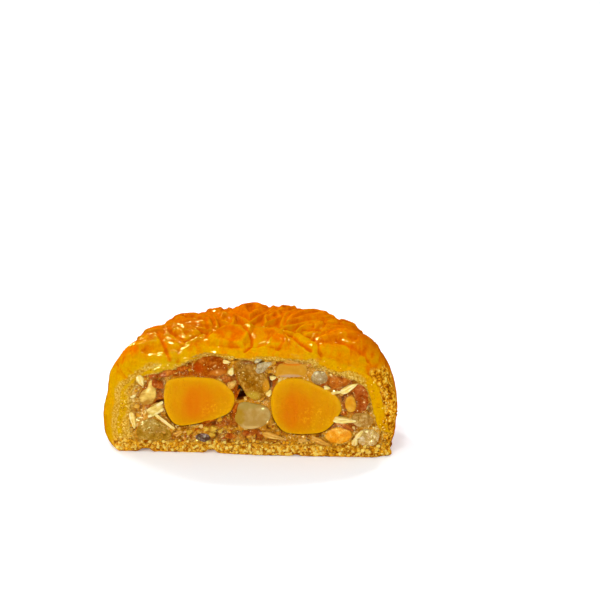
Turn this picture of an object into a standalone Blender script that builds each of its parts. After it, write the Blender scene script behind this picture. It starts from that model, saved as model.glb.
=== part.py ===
"""Half of a moulded mooncake, cut to show ham, candied melon, nuts, seeds and two salted egg yolks.

Metres, +Z up. The cut face looks along -Y and the cake rests on its flat base at z = 0.
Shapes are worked out in millimetres round the middle of the whole cake (x across the cut,
y back from the cut, z up), and placed() turns them into metres in the part's own frame.
"""
import math
import random

import bmesh
import bpy
from mathutils import Vector, noise

MM = 0.001

# Whole cake
CAKE_RADIUS = 43.6
CAKE_HEIGHT = 34.6
SIDE_PROFILE = ((0, 34.6), (10, 34.6), (20, 34.3), (28, 33.5), (33.8, 31.9), (37.6, 29.4), (40.2, 26.2),
                (42.0, 22.2), (43.2, 17.6), (43.6, 12.5), (43.5, 7.5), (43.0, 3.6), (41.8, 1.0), (39.6, 0.0))
TURN_STEPS = 90

# Moulded pattern: lobes round the side, large and small petals in turn on top, a disc in the middle
LOBE_TURN = math.radians(20)
FIRST_LARGE = math.radians(92)
LOBE_DEPTH = 2.5
DISC_RADIUS = 15.0
DISC_RISE = 1.5
PETAL_RISE = 1.5
LEAF_RISE = 0.8
SLIT_DEPTH = 1.5
# (start radius, tip radius, half width) of each petal, of its inner leaf and of the slit in that leaf
LARGE_PETAL = ((13.0, 38.6, 7.8), (16.0, 34.5, 4.0), (20.0, 32.0, 1.4))
SMALL_PETAL = ((22.0, 37.8, 4.9), (24.0, 36.0, 2.6), (28.0, 35.0, 1.2))
INNER_LEAF = ((13.0, 26.5, 3.6), (13.5, 25.0, 2.0), (15.0, 22.0, 1.3))
# Rosette of plump buds on the disc: turn in degrees, distance from the middle, length, width, rise
BUDS = ((158, 9.6, 6.4, 3.6, 1.5), (124, 8.6, 6.8, 3.8, 1.6), (88, 8.2, 6.2, 3.4, 1.3),
        (54, 8.4, 5.6, 3.2, 1.3), (22, 9.0, 5.2, 3.0, 1.2))

# The top leans up to the right: rise for each millimetre across and up
TOP_LEAN = 0.0011

# Skin dragged down and in by the knife beside the cut
DRAG_DROP = 4.6
DRAG_DROP_AT_SIDES = 4.2
DRAG_LENGTH = 17.0
DRAG_LENGTH_AT_SIDES = 9.0
LEFT_PINCH = 5.2
LEFT_PINCH_LENGTH = 6.5
RIGHT_PINCH = 2.0
RIGHT_PINCH_LENGTH = 12.0
RIGHT_FOOT = 0.6

# Filling: its edge on the cut, how deep it goes, and the gap that touching pieces keep
FILLING_EDGE = ((-33.4, 3.0), (-35.0, 11.5), (-33.8, 19.0), (-31.8, 23.4), (-22.0, 26.4), (-15.5, 29.9),
                (-9.0, 30.9), (-3.0, 30.1), (4.0, 29.8), (15.0, 29.8), (21.0, 27.5), (31.0, 24.0),
                (35.0, 20.0), (36.8, 12.0), (39.2, 5.6), (36.0, 2.3), (15.0, 2.9), (-20.0, 2.9))
FILLING_DEPTH = 35.5
GAP = 0.4

# The part's frame: the middle of its box, on the base
FRAME_X = -0.18
FRAME_Y = 21.1

# Pieces that the cut shows: how deep each goes, how far it stands out, and the points of its
# outline on the cut face, in millimetres, clockwise from the left
PIECES = {
    "yolk_left": (9.0, 0.6, ((-23.9, 19.9), (-22.3, 22.6), (-15.8, 23.5), (-9.1, 22.7), (-5.3, 19.8),
        (-4.4, 16.7), (-5.8, 13.2), (-10.2, 11.0), (-16.0, 9.3), (-20.4, 8.9), (-22.5, 10.8),
        (-23.9, 14.7))),
    "yolk_right": (9.5, 0.6, ((6.8, 16.9), (7.5, 20.5), (10.1, 23.2), (14.9, 23.5), (19.7, 21.5),
        (24.4, 19.0), (26.4, 15.7), (25.4, 12.0), (22.6, 8.5), (18.7, 7.0), (11.5, 7.1), (8.7, 9.2),
        (7.2, 12.7))),
    "melon_brown": (6.0, 1.3, ((-3.5, 27.4), (-2.3, 28.8), (0.3, 28.9), (2.6, 27.2), (4.5, 24.5),
        (5.9, 21.4), (4.9, 18.9), (2.5, 17.4), (0.4, 17.8), (-1.2, 20.1), (-2.9, 23.8))),
    "melon_pale": (6.0, 1.2, ((-3.3, 13.1), (-2.7, 15.2), (-1.3, 16.0), (1.6, 15.7), (4.6, 14.8),
        (6.0, 12.8), (5.4, 10.4), (3.0, 8.7), (0.4, 8.1), (-2.2, 8.9), (-3.6, 10.9))),
    "melon_olive": (5.0, 0.5, ((-32.2, 7.0), (-30.2, 9.6), (-27.3, 10.2), (-24.2, 7.8), (-22.9, 5.8),
        (-23.8, 4.3), (-27.3, 3.7), (-31.0, 4.1), (-32.4, 5.2))),
    "melon_grey": (4.0, 0.9, ((31.9, 5.3), (32.7, 7.4), (34.8, 8.1), (36.6, 7.4), (37.4, 5.4),
        (36.6, 3.9), (34.6, 3.3), (32.8, 3.8))),
    "melon_round": (4.0, 1.2, ((18.3, 24.0), (18.9, 25.4), (20.4, 26.1), (21.9, 25.5), (22.5, 24.0),
        (21.7, 22.8), (20.2, 22.6), (18.9, 23.0))),
    "ham_top": (5.0, 0.8, ((-15.3, 27.0), (-14.3, 29.1), (-11.8, 29.8), (-8.7, 29.9), (-6.9, 28.4),
        (-6.4, 25.9), (-9.0, 24.7), (-12.9, 24.7), (-14.9, 25.5))),
    "ham_right": (4.0, 0.4, ((23.7, 23.2), (24.3, 24.3), (26.3, 24.2), (28.7, 23.4), (28.4, 22.4),
        (26.2, 21.5), (24.3, 21.9))),
    "ham_far": (4.0, 0.4, ((30.7, 21.2), (31.8, 22.0), (33.2, 21.3), (34.0, 19.6), (33.9, 16.7),
        (33.3, 14.4), (32.2, 14.7), (31.9, 16.9), (30.9, 19.3))),
    "chicken": (5.0, 1.2, ((8.1, 25.7), (8.7, 27.4), (10.0, 28.2), (15.4, 28.3), (16.4, 27.2),
        (16.3, 25.5), (14.3, 24.8), (8.7, 24.8))),
    "nut_pear": (3.5, 1.3, ((-31.6, 16.3), (-30.8, 18.5), (-29.0, 20.1), (-28.4, 21.9), (-27.6, 22.4),
        (-26.9, 21.8), (-27.0, 19.9), (-27.1, 17.3), (-28.4, 15.5), (-30.6, 15.2))),
    "nut_amber": (3.0, 0.9, ((28.1, 17.2), (28.9, 18.3), (30.1, 17.9), (30.7, 16.0), (30.3, 14.4),
        (29.0, 14.1), (28.1, 15.3))),
    "nut_almond": (3.0, 1.1, ((-29.1, 13.0), (-27.5, 14.1), (-25.6, 15.2), (-24.9, 14.4), (-26.3, 12.6),
        (-28.1, 11.4), (-28.9, 12.0))),
    "peel_orange": (4.5, 0.7, ((22.6, 6.0), (23.9, 7.8), (25.8, 8.6), (28.2, 8.1), (29.4, 6.5),
        (28.3, 4.8), (25.9, 4.0), (23.7, 4.5))),
    "raisin": (3.5, 0.8, ((-15.4, 5.0), (-14.1, 5.9), (-12.2, 5.5), (-11.7, 4.5), (-13.2, 3.8),
        (-14.7, 4.1))),
    "date_brown": (3.5, 0.4, ((29.9, 11.8), (30.8, 13.0), (33.2, 13.2), (35.1, 12.1), (35.5, 10.6),
        (34.6, 9.4), (32.5, 9.3), (30.8, 10.1))),
}
# Corners of a piece's outline, and of a yolk's
PIECE_SIDES = 14
YOLK_SIDES = 28

# Seeds and slivers fused to the filling: (x, z, length, width, tilt in degrees)
SEEDS = (
    (-24.6, 9.6, 5.6, 1.2, -40), (-33.3, 9.6, 5.0, 1.4, -80), (-31.0, 22.2, 3.0, 1.4, 62),
    (-32.2, 13.0, 2.4, 0.9, 60), (28.2, 20.2, 4.0, 1.5, 32), (27.7, 11.7, 3.2, 1.3, -2),
    (30.7, 5.4, 2.8, 1.2, 82), (31.1, 7.9, 2.0, 1.0, 55), (7.2, 5.0, 5.6, 1.6, 4),
    (20.0, 4.6, 3.2, 1.4, -8), (-10.0, 7.8, 2.0, 1.7, 0), (-0.8, 5.6, 2.2, 1.5, 20),
    (-18.0, 6.3, 2.8, 1.8, 15), (-5.0, 26.6, 2.2, 1.2, 75), (6.4, 28.2, 2.4, 1.4, 30),
    (-22.4, 25.1, 5.0, 1.4, 16), (-19.2, 26.6, 3.6, 1.2, 10), (-4.9, 22.9, 2.2, 1.5, 40),
    (-24.7, 21.4, 2.6, 1.8, -30), (-27.4, 23.8, 2.4, 1.1, 20), (-5.0, 5.4, 3.0, 1.6, -10),
    (-20.6, 5.4, 2.4, 1.4, 30),
)

# Small dark pit torn in the filling between three pieces: place on the cut, half sizes
PIT = ((-2.6, 18.6), (1.0, 1.7, 2.5))

# Grains of the paste and crumbs of the pastry
GRAIN_COUNT = 56
GRAIN_SIZE = (0.55, 1.15)
CRUMB_COUNT = 40
CRUMB_SIZE = (0.5, 0.95)

COLOURS = {
    "crust": (0.83, 0.42, 0.02), "filling": (0.42, 0.20, 0.05), "yolk": (0.82, 0.33, 0.01),
    "melon_brown": (0.38, 0.23, 0.05), "melon_pale": (0.58, 0.44, 0.20), "melon_olive": (0.38, 0.26, 0.06),
    "melon_grey": (0.46, 0.34, 0.17), "melon_round": (0.50, 0.42, 0.32), "ham": (0.36, 0.09, 0.02),
    "chicken": (0.56, 0.38, 0.16), "nut": (0.72, 0.52, 0.22), "peel": (0.72, 0.30, 0.05),
    "raisin": (0.13, 0.05, 0.03), "date": (0.34, 0.17, 0.05),
}


def smooth(low, high, value):
    """0 below low, 1 above high and an even slope between."""
    share = min(1.0, max(0.0, (value - low) / (high - low)))
    return share * share * (3 - 2 * share)


def spline(points, place, closed=False):
    """A point on the smooth curve through points, at place, counted in points."""
    count = len(points)
    start = int(math.floor(place))
    share = place - start
    if closed:
        near = [points[(start + k) % count] for k in (-1, 0, 1, 2)]
    else:
        near = [points[min(count - 1, max(0, start + k))] for k in (-1, 0, 1, 2)]
    result = []
    for a, b, c, d in zip(*near):
        bend = 2 * a - 5 * b + 4 * c - d
        twist = 3 * b - a - 3 * c + d
        result.append(b + 0.5 * share * (c - a + share * (bend + share * twist)))
    return tuple(result)


def profile_points():
    """Radius and height of the turned outline, from the middle of the top to the base's edge."""
    disc = [5.0, 10.0, 14.2]
    petals = [15.6 + 1.25 * k for k in range(17)]
    points = [(0.0, CAKE_HEIGHT)]
    knots = len(SIDE_PROFILE) - 1
    fine = [spline(SIDE_PROFILE, k / 40) for k in range(40 * knots + 1)]
    for radius in disc + petals:
        points.append(min(fine[:260], key=lambda point: abs(point[0] - radius)))
    points += [spline(SIDE_PROFILE, place) for place in (5.35, 6, 7, 8, 9, 10, 11, 12)]
    points += [SIDE_PROFILE[-1], (0.0, 0.0)]
    return points


def petal_height(along, across, rim, leaf, slit, rise):
    """Height of one petal with its inner leaf and slit, at a place along and across its axis."""
    height = rise * smooth(-0.6, 1.6, petal_inside(along, across, rim))
    if height > 0:
        height += LEAF_RISE * smooth(-0.8, 1.6, petal_inside(along, across, leaf))
        height -= SLIT_DEPTH * smooth(-0.9, 0.9, petal_inside(along, across, slit))
    return height


def petal_inside(along, across, outline):
    """How far inside the petal's pointed outline a place is, in millimetres."""
    start, tip, half_width = outline
    share = (along - start) / (tip - start)
    if share <= 0 or share >= 1:
        return -1.0
    return half_width * 2.6 * share * math.sqrt(1 - share) - abs(across)


def relief(radius, angle):
    """Height of the moulded pattern over the plain top."""
    height = 0.0
    for shift, shapes, rise in ((0, LARGE_PETAL, PETAL_RISE), (1, SMALL_PETAL, 0.8 * PETAL_RISE),
                                (1, INNER_LEAF, 0.9 * PETAL_RISE)):
        turn = (angle - FIRST_LARGE - shift * LOBE_TURN) / (2 * LOBE_TURN)
        off_axis = (turn - round(turn)) * 2 * LOBE_TURN
        place = (radius * math.cos(off_axis), radius * math.sin(off_axis))
        height = max(height, petal_height(*place, *shapes, rise))
    disc = 1 - smooth(DISC_RADIUS - 0.8, DISC_RADIUS + 0.8, radius)
    return height * (1 - disc) + disc * DISC_RISE


def lobed(radius, angle, height):
    """Radius of the side where the mould's lobes meet in sharp inward creases."""
    turn = (angle - FIRST_LARGE) / LOBE_TURN
    off_crest = 2 * abs(turn - round(turn))
    crease = 1 - math.sqrt(1 - 0.97 * off_crest * off_crest)
    beside_cut = smooth(1, 9, radius * math.sin(angle))
    weight = smooth(24, 38, radius) * (0.25 + 0.75 * smooth(1, 12, height)) * beside_cut
    return radius - LOBE_DEPTH * weight * crease * 1.2


def dragged(x, y, z):
    """The place of a point of the skin once the knife has pulled it down and in."""
    out = min(1.0, abs(x) / 34)
    length = DRAG_LENGTH + (DRAG_LENGTH_AT_SIDES - DRAG_LENGTH) * out ** 2
    drop = DRAG_DROP + DRAG_DROP_AT_SIDES * out ** 3
    near = max(0.0, 1 - y / length) ** 1.55
    upper = max(0.0, (z - 13) / (CAKE_HEIGHT - 13)) ** 1.2
    side = min(1.0, abs(x) / CAKE_RADIUS) ** 3
    if x < 0:
        beside = max(0.0, 1 - y / LEFT_PINCH_LENGTH) ** 1.8
        shift = LEFT_PINCH * smooth(-4, 4, z)
    else:
        beside = max(0.0, 1 - y / RIGHT_PINCH_LENGTH) ** 1.8
        shift = RIGHT_FOOT * (1 - smooth(0, 2, z))
        shift -= RIGHT_PINCH * smooth(0, 3, z) * (1 - 0.6 * smooth(8, 14, z))
    return x + shift * beside * side, y, z * (1 + TOP_LEAN * x) - drop * near * upper


def skin_point(radius, angle, height):
    """A point of the finished skin from its place on the plain turned cake."""
    on_top = smooth(21, 29, height)
    raised = height + on_top * relief(radius, angle) * (1 - 0.4 * smooth(35, 39, radius))
    side = lobed(radius, angle, height)
    return dragged(side * math.cos(angle), side * math.sin(angle), raised)


def placed(x, y, z):
    """Millimetres round the middle of the whole cake to metres in the part's frame."""
    return Vector(((x - FRAME_X) * MM, (y - FRAME_Y) * MM, z * MM))


def grown(outline, distance):
    """The outline moved outwards by a distance."""
    count = len(outline)
    result = []
    for k, (x, z) in enumerate(outline):
        before = outline[k - 1]
        after = outline[(k + 1) % count]
        run = Vector((after[0] - before[0], after[1] - before[1])).normalized()
        result.append((x + distance * run.y, z - distance * run.x))
    return result


def inside(outline, x, z):
    """Whether a place on the cut lies inside an outline."""
    found = False
    for (ax, az), (bx, bz) in zip(outline, outline[1:] + outline[:1]):
        if (az > z) != (bz > z) and x < ax + (z - az) / (bz - az) * (bx - ax):
            found = not found
    return found


def rounded(points, count):
    """Evenly counted places on the closed curve through clockwise points, turned the other way."""
    edge = [spline(points, len(points) * k / count, closed=True) for k in range(count)]
    edge.reverse()
    return edge


def filling_outline(growth=0.0, count=50):
    """The filling's edge on the cut, grown outwards."""
    return grown(rounded(FILLING_EDGE, count), growth)


def new_object(name, mesh, collection, colour=None, gloss=0.4):
    """An object in its collection, with its own material where it has a colour."""
    thing = bpy.data.objects.new(name, mesh)
    collection.objects.link(thing)
    if colour:
        material = bpy.data.materials.new(name)
        material.use_nodes = True
        shader = material.node_tree.nodes["Principled BSDF"]
        shader.inputs["Base Color"].default_value = (*COLOURS[colour], 1)
        shader.inputs["Roughness"].default_value = gloss
        shader.inputs["Metallic"].default_value = 0
        mesh.materials.append(material)
    return thing


def mesh_from(work, name):
    """The worked shape as a mesh, all triangles, its faces turned outwards."""
    bmesh.ops.triangulate(work, faces=work.faces)
    bmesh.ops.recalc_face_normals(work, faces=work.faces)
    mesh = bpy.data.meshes.new(name)
    work.to_mesh(mesh)
    work.free()
    return mesh


def sunk_solid(name, outline, rings):
    """A solid that goes back from an outline on the cut; a ring is its depth and its share of the size."""
    middle_x, middle_z = (sum(values) / len(outline) for values in zip(*outline))
    work = bmesh.new()
    bmesh.ops.create_circle(work, cap_ends=True, segments=len(outline), radius=1)
    face = work.faces[:][0]
    for number, (depth, share) in enumerate(rings):
        if number:
            face = bmesh.ops.extrude_discrete_faces(work, faces=[face])["faces"][0]
        for corner, (x, z) in zip(face.verts, outline):
            corner.co = placed(middle_x + share * (x - middle_x), depth, middle_z + share * (z - middle_z))
    front = [edge for edge in work.edges if edge.is_boundary]
    bmesh.ops.contextual_create(work, geom=front)
    return mesh_from(work, name)


def apply_modifiers(thing):
    """Make the object's evaluated mesh its own."""
    bpy.context.view_layer.update()
    graph = bpy.context.evaluated_depsgraph_get()
    mesh = bpy.data.meshes.new_from_object(thing.evaluated_get(graph))
    thing.modifiers.clear()
    thing.data = mesh


def boolean(thing, operation, target, solver="EXACT"):
    """Join to, or cut from, the object all that a collection holds, then remove those objects."""
    modifier = thing.modifiers.new(operation.lower(), "BOOLEAN")
    modifier.operation = operation
    modifier.operand_type = "COLLECTION"
    modifier.collection = target
    modifier.solver = solver
    apply_modifiers(thing)
    for item in list(target.objects):
        bpy.data.objects.remove(item)


def keep_largest(thing):
    """Drop loose scraps, merge doubled corners and leave one closed body."""
    work = bmesh.new()
    work.from_mesh(thing.data)
    bmesh.ops.remove_doubles(work, verts=work.verts, dist=0.02 * MM)
    bmesh.ops.dissolve_degenerate(work, edges=work.edges, dist=0.01 * MM)
    left = set(work.faces)
    bodies = []
    while left:
        body = {left.pop()}
        edge_of_body = list(body)
        while edge_of_body:
            face = edge_of_body.pop()
            near = {other for edge in face.edges for other in edge.link_faces} - body
            body |= near
            edge_of_body += near
        left -= body
        bodies.append(body)
    largest = max(bodies, key=len)
    scraps = [face for body in bodies if body is not largest for face in body]
    bmesh.ops.delete(work, geom=scraps, context="FACES")
    bmesh.ops.triangulate(work, faces=work.faces)
    work.to_mesh(thing.data)
    work.free()


def lump(collection, centre, axes, seed, detail=1):
    """A ball of few sides, uneven and stretched to three half axes round its centre."""
    work = bmesh.new()
    bmesh.ops.create_icosphere(work, subdivisions=detail, radius=1)
    for corner in work.verts:
        uneven = 1 + 0.22 * noise.noise(corner.co * 1.3 + Vector((seed, 0, 0)))
        spot = Vector(centre)
        for share, axis in zip(corner.co, axes):
            spot += share * uneven * Vector(axis)
        corner.co = placed(*spot)
    return new_object("lump", mesh_from(work, "lump"), collection)


def add_grain(collection, x, z, size, tilt, depth, seed):
    """A grain, seed or crumb that stands out of the cut: its length, width and thickness."""
    turn = math.radians(tilt)
    along = Vector((math.cos(turn), 0, math.sin(turn))) * size[0] / 2
    across = Vector((-math.sin(turn), 0, math.cos(turn))) * size[1] / 2
    lump(collection, (x, depth, z), (along, across, Vector((0, size[2] / 2, 0))), seed)


def add_buds(collection):
    """The rosette of plump buds, half sunk in the disc."""
    for turn, distance, length, width, rise in BUDS:
        angle = math.radians(turn)
        centre = Vector(skin_point(distance, angle, CAKE_HEIGHT))
        tip = Vector(skin_point(distance + length / 2, angle, CAKE_HEIGHT))
        along = (tip - centre).normalized() * length / 2
        across = Vector((-math.sin(angle), math.cos(angle), 0)) * width / 2
        lump(collection, centre, (along, across, Vector((0, 0, rise))), turn, 2)


def make_crust(parts, cutters):
    """The baked skin: a turned half with the moulded pattern, hollowed for the filling."""
    work = bmesh.new()
    line = [work.verts.new((radius, 0, height)) for radius, height in profile_points()]
    edges = [work.edges.new(pair) for pair in zip(line, line[1:])]
    bmesh.ops.spin(work, geom=line + edges, cent=(0, 0, 0), axis=(0, 0, 1), angle=math.pi,
                   steps=TURN_STEPS, use_merge=False)
    bmesh.ops.remove_doubles(work, verts=work.verts, dist=0.01)
    open_edges = [edge for edge in work.edges if edge.is_boundary]
    for corner in work.verts:
        radius = math.hypot(corner.co.x, corner.co.y)
        angle = math.atan2(max(0.0, corner.co.y), corner.co.x)
        if corner.co.z > 0.01:
            corner.co = placed(*skin_point(radius, angle, corner.co.z))
        else:
            side = lobed(radius, angle, 0.0)
            corner.co = placed(*dragged(side * math.cos(angle), side * math.sin(angle), 0.0))
    bmesh.ops.contextual_create(work, geom=open_edges)
    crust = new_object("crust", mesh_from(work, "crust"), parts, "crust", 0.25)
    add_crumbs(cutters)
    add_buds(cutters)
    boolean(crust, "UNION", cutters)
    rings = [(-6.0, 1.0)] + filling_rings(GAP)
    hollow = sunk_solid("hollow", filling_outline(GAP), rings)
    new_object("hollow", hollow, cutters)
    boolean(crust, "DIFFERENCE", cutters)
    keep_largest(crust)


def filling_rings(growth):
    """Depth and size of the sections of the filling, which narrows round towards the back."""
    rings = [(0.0, 1.0)]
    for share in (0.3, 0.6, 0.83, 0.97):
        rings.append((share * (FILLING_DEPTH + growth), math.sqrt(1 - share * share)))
    return rings


def add_crumbs(collection):
    """Crumbs that stand out of the pastry's cut edge, most of them at the torn right end."""
    draw = random.Random(11)
    edge = filling_outline(0.9)
    made = 0
    while made < CRUMB_COUNT:
        right_end = made % 3 == 0
        x = draw.uniform(35, 41) if right_end else draw.uniform(-37, 41)
        z = draw.uniform(1.2, 22) if right_end else draw.uniform(1.2, 30)
        if inside(edge, x, z) or not inside(crust_outline(1.0), x, z):
            continue
        size = [draw.uniform(*CRUMB_SIZE) * 2 for _ in range(3)]
        add_grain(collection, x, z, size, draw.uniform(0, 180), 0.1, draw.uniform(0, 50))
        made += 1


def crust_outline(margin):
    """The skin's own outline on the cut, drawn in by a margin."""
    heights = [point for point in profile_points() if point[0] > 1]
    right = [skin_point(radius, 0.0, height) for radius, height in heights]
    left = [skin_point(radius, math.pi, height) for radius, height in heights]
    outline = [(x, z) for x, y, z in right[::-1]] + [(x, z) for x, y, z in left]
    return grown(outline, -margin)


def make_piece(name, parts, cutters):
    """One piece that the cut went through, and the cutter that makes room for it."""
    depth, proud, points = PIECES[name]
    kind = name.split("_")[0]
    edge = rounded(points, YOLK_SIDES if kind == "yolk" else PIECE_SIDES)
    rings = [(-proud, 0.8), (-0.4 * proud, 1.0), (depth, 0.6)]
    room = [(-6.0, 1.0), (0.0, 1.0), (depth + GAP, 0.62)]
    if kind == "yolk":
        rings = [(-proud, 0.88), (-0.4 * proud, 1.0), (0.45 * depth, 0.88), (0.85 * depth, 0.5), (depth, 0.2)]
        room = [(-6.0, 1.0), (0.0, 1.0), (0.45 * depth, 0.91), (0.85 * depth, 0.56), (depth + GAP, 0.24)]
    colour = name if name in COLOURS else kind
    new_object(name, sunk_solid(name, edge, rings), parts, colour)
    new_object(name + "_room", sunk_solid(name + "_room", grown(edge, GAP), room), cutters)


def make_filling(parts, cutters, extras):
    """The sticky filling, with the seeds, slivers and grains that stand out of the cut."""
    core = sunk_solid("filling", filling_outline(), filling_rings(0.0))
    filling = new_object("filling", core, parts, "filling", 0.3)
    edge = filling_outline(-1.1 * GRAIN_SIZE[1])
    draw = random.Random(5)
    for number, (x, z, length, width, tilt) in enumerate(SEEDS):
        add_grain(extras, x, z, (length, width, 2.2), tilt, -0.15, number)
    made = 0
    while made < GRAIN_COUNT:
        x = draw.uniform(-34, 38)
        z = draw.uniform(4, 30)
        if not inside(edge, x, z):
            continue
        size = [draw.uniform(*GRAIN_SIZE) * 2 for _ in range(3)]
        add_grain(extras, x, z, size, draw.uniform(0, 180), 0.0, draw.uniform(0, 50))
        made += 1
    boolean(filling, "UNION", extras)
    (x, z), (half_width, half_height, depth) = PIT
    lump(cutters, (x, 0, z), ((half_width, 0, 0), (0, depth, 0), (0, 0, half_height)), 1.0)
    boolean(filling, "DIFFERENCE", cutters)
    keep_largest(filling)


def build():
    """Clear the scene, then make the cake in its collection."""
    for thing in list(bpy.data.objects):
        bpy.data.objects.remove(thing)
    parts = bpy.data.collections.new("half_mooncake")
    cutters = bpy.data.collections.new("cutters")
    extras = bpy.data.collections.new("extras")
    for collection in (parts, cutters, extras):
        bpy.context.scene.collection.children.link(collection)
    make_crust(parts, cutters)
    for name in PIECES:
        make_piece(name, parts, cutters)
    make_filling(parts, cutters, extras)
    for collection in (cutters, extras):
        bpy.data.collections.remove(collection)


build()
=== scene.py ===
"""The looks of half a glazed mooncake, cut through ham, candied melon, nuts, seeds and two yolks.

Shapes are worked out in millimetres round the middle of the cake's full round, which lies in the cut:
x along the cut, y back from it, z up. placed() turns them into metres in the frame of the solids.
"""

import math
import random

import bmesh
import bpy
import numpy as np
from mathutils import Euler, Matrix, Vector, noise


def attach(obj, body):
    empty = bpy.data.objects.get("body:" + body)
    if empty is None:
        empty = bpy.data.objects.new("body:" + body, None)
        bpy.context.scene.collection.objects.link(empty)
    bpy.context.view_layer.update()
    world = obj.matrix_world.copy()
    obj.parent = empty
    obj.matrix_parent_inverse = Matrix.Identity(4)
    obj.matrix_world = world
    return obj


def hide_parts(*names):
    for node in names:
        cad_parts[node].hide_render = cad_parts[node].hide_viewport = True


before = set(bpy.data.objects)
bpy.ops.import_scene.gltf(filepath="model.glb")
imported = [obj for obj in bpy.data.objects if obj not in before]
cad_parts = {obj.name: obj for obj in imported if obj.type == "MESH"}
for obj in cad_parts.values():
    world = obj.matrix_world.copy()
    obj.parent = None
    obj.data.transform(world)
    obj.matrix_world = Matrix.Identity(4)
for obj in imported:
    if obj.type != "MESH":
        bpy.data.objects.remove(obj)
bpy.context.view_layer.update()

MM = 0.001
FRAME_X = -0.18
FRAME_Y = 21.1

# The full round's turned outline and the mould's pattern
CAKE_RADIUS = 43.6
CAKE_HEIGHT = 34.6
SIDE_PROFILE = ((0, 34.6), (10, 34.6), (20, 34.3), (28, 33.5), (33.8, 31.9), (37.6, 29.4), (40.2, 26.2),
                (42.0, 22.2), (43.2, 17.6), (43.6, 12.5), (43.5, 7.5), (43.0, 3.6), (41.8, 1.0), (39.6, 0.0))
LOBE_TURN = math.radians(20)
FIRST_LARGE = math.radians(92)
LOBE_DEPTH = 2.5
DISC_RADIUS = 15.0
DISC_RISE = 1.5
PETAL_RISE = 1.5
LEAF_RISE = 0.6
SLIT_DEPTH = 1.5
# (start radius, tip radius, half width) of each petal, of its inner leaf and of the slit in that leaf
LARGE_PETAL = ((13.0, 38.6, 7.8), (16.0, 34.5, 4.0), (20.0, 32.0, 1.4))
SMALL_PETAL = ((22.0, 37.8, 4.9), (24.0, 36.0, 2.6), (28.0, 35.0, 1.2))
INNER_LEAF = ((13.0, 26.5, 3.6), (13.5, 25.0, 2.0), (15.0, 22.0, 1.3))
# The disc as the knife left it: half width, and depth back from the cut
DISC_REACH = (20.0, 12.0)
# Plump buds on the disc: turn in degrees, distance from the middle, length, width, rise
BUDS = ((122, 8.5, 10.0, 12.0, 1.3), (30, 9.0, 6.0, 4.6, 1.2), (140, 13.6, 3.0, 3.0, 0.8))
# Creases, patches of browning and ridges in the skin over the cut: half width, height, browning, and
# the points of their line over the top; in the creases the browning is partly painted crease shade
MARKS = (
    (1.1, -0.7, 0.9, ((-27.5, 12.2), (-25.8, 7.4), (-24.4, 4.5), (-23.2, 0.6))),
    (1.0, -0.6, 0.8, ((-25.2, 7.7), (-25.6, 11.9), (-24.8, 14.3), (-23.3, 11.1), (-21.2, 7.9), (-18.8, 6.5))),
    (0.7, -0.4, 0.6, ((-24.1, 12.8), (-22.9, 10.7), (-21.0, 8.5))),
    (2.6, 0.0, 0.8, ((-28.0, 16.0), (-26.4, 11.0))),
    (2.4, 0.0, 0.8, ((-37.4, 7.6), (-33.0, 4.6))),
    (1.0, -0.5, 0.7, ((-13.3, 14.8), (-12.6, 12.8), (-12.4, 8.4), (-12.7, 6.9))),
    (2.2, 0.0, 0.6, ((-13.0, 16.0), (-12.4, 8.0))),
    (1.0, -0.7, 0.9, ((-19.8, 18.8), (-17.2, 22.4), (-13.6, 23.6), (-10.1, 22.6))),
    (0.8, -0.7, 0.9, ((-12.0, 8.1), (-10.4, 9.4), (-6.8, 12.6), (-2.5, 11.6), (0.7, 6.4), (0.8, 3.0),
                      (-1.1, 1.2))),
    (3.0, 0.0, 1.0, ((-9.0, 8.2), (-6.0, 9.6), (-3.2, 8.0))),
    (1.9, 0.0, 1.0, ((-4.6, 7.5), (-5.2, 3.0))),
    (0.6, -0.4, 0.8, ((-11.2, 8.9), (-9.8, 8.6), (-9.2, 7.6), (-10.3, 7.6))),
    (0.9, -0.5, 0.8, ((6.4, 6.0), (7.8, 6.8), (9.2, 5.7), (10.1, 4.1), (8.6, 1.8))),
    (1.7, 0.0, 0.9, ((7.2, 5.4), (8.4, 4.2))),
    (0.7, -0.4, 0.5, ((2.2, 2.9), (4.5, 3.9), (6.4, 3.0))),
    # Along the disc's right edge: a crease whose browning is a painted shadow of the disc's edge
    (1.0, -0.9, 0.9, ((9.7, 9.2), (12.4, 7.4), (15.5, 3.7), (17.9, 1.9))),
    (0.9, -0.5, 0.6, ((11.7, 7.5), (15.1, 10.6), (20.4, 9.7))),
    (0.9, -0.4, 0.8, ((25.3, 5.4), (29.3, 3.9), (33.6, 3.2), (36.0, 1.5))),
    (1.0, -0.6, 0.8, ((21.6, 24.8), (23.8, 23.3), (25.8, 14.3))),
    (4.5, 0.0, 0.5, ((25.5, 12.0), (30.5, 12.5), (32.0, 6.5))),
    (1.6, 0.0, 0.9, ((34.4, 0.8), (36.4, 1.6))),
    (4.5, 0.0, 0.4, ((12.0, 19.0), (20.0, 19.0))),
    (0.9, 0.5, 0.0, ((-32.4, 5.7), (-29.2, 5.9), (-26.3, 6.2))),
    (0.9, 0.5, 0.0, ((-33.4, 9.5), (-28.4, 8.6))),
    (0.9, 0.5, 0.0, ((-22.6, 15.8), (-18.6, 14.8), (-15.3, 13.3))),
    (0.9, 0.5, 0.0, ((-19.4, 5.2), (-14.3, 6.4))),
    (0.8, 0.4, 0.0, ((-39.8, 4.5), (-36.1, 2.5))),
)

# Skin dragged down and in by the knife, and the lean of the top
TOP_LEAN = 0.0011
DRAG_DROP = 4.6
DRAG_DROP_AT_SIDES = 4.2
DRAG_LENGTH = 17.0
DRAG_LENGTH_AT_SIDES = 9.0
LEFT_PINCH = 5.2
LEFT_PINCH_LENGTH = 6.5
RIGHT_PINCH = 2.0
RIGHT_PINCH_LENGTH = 12.0
RIGHT_FOOT = 0.6
LEFT_TUCK = 1.1
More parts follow.
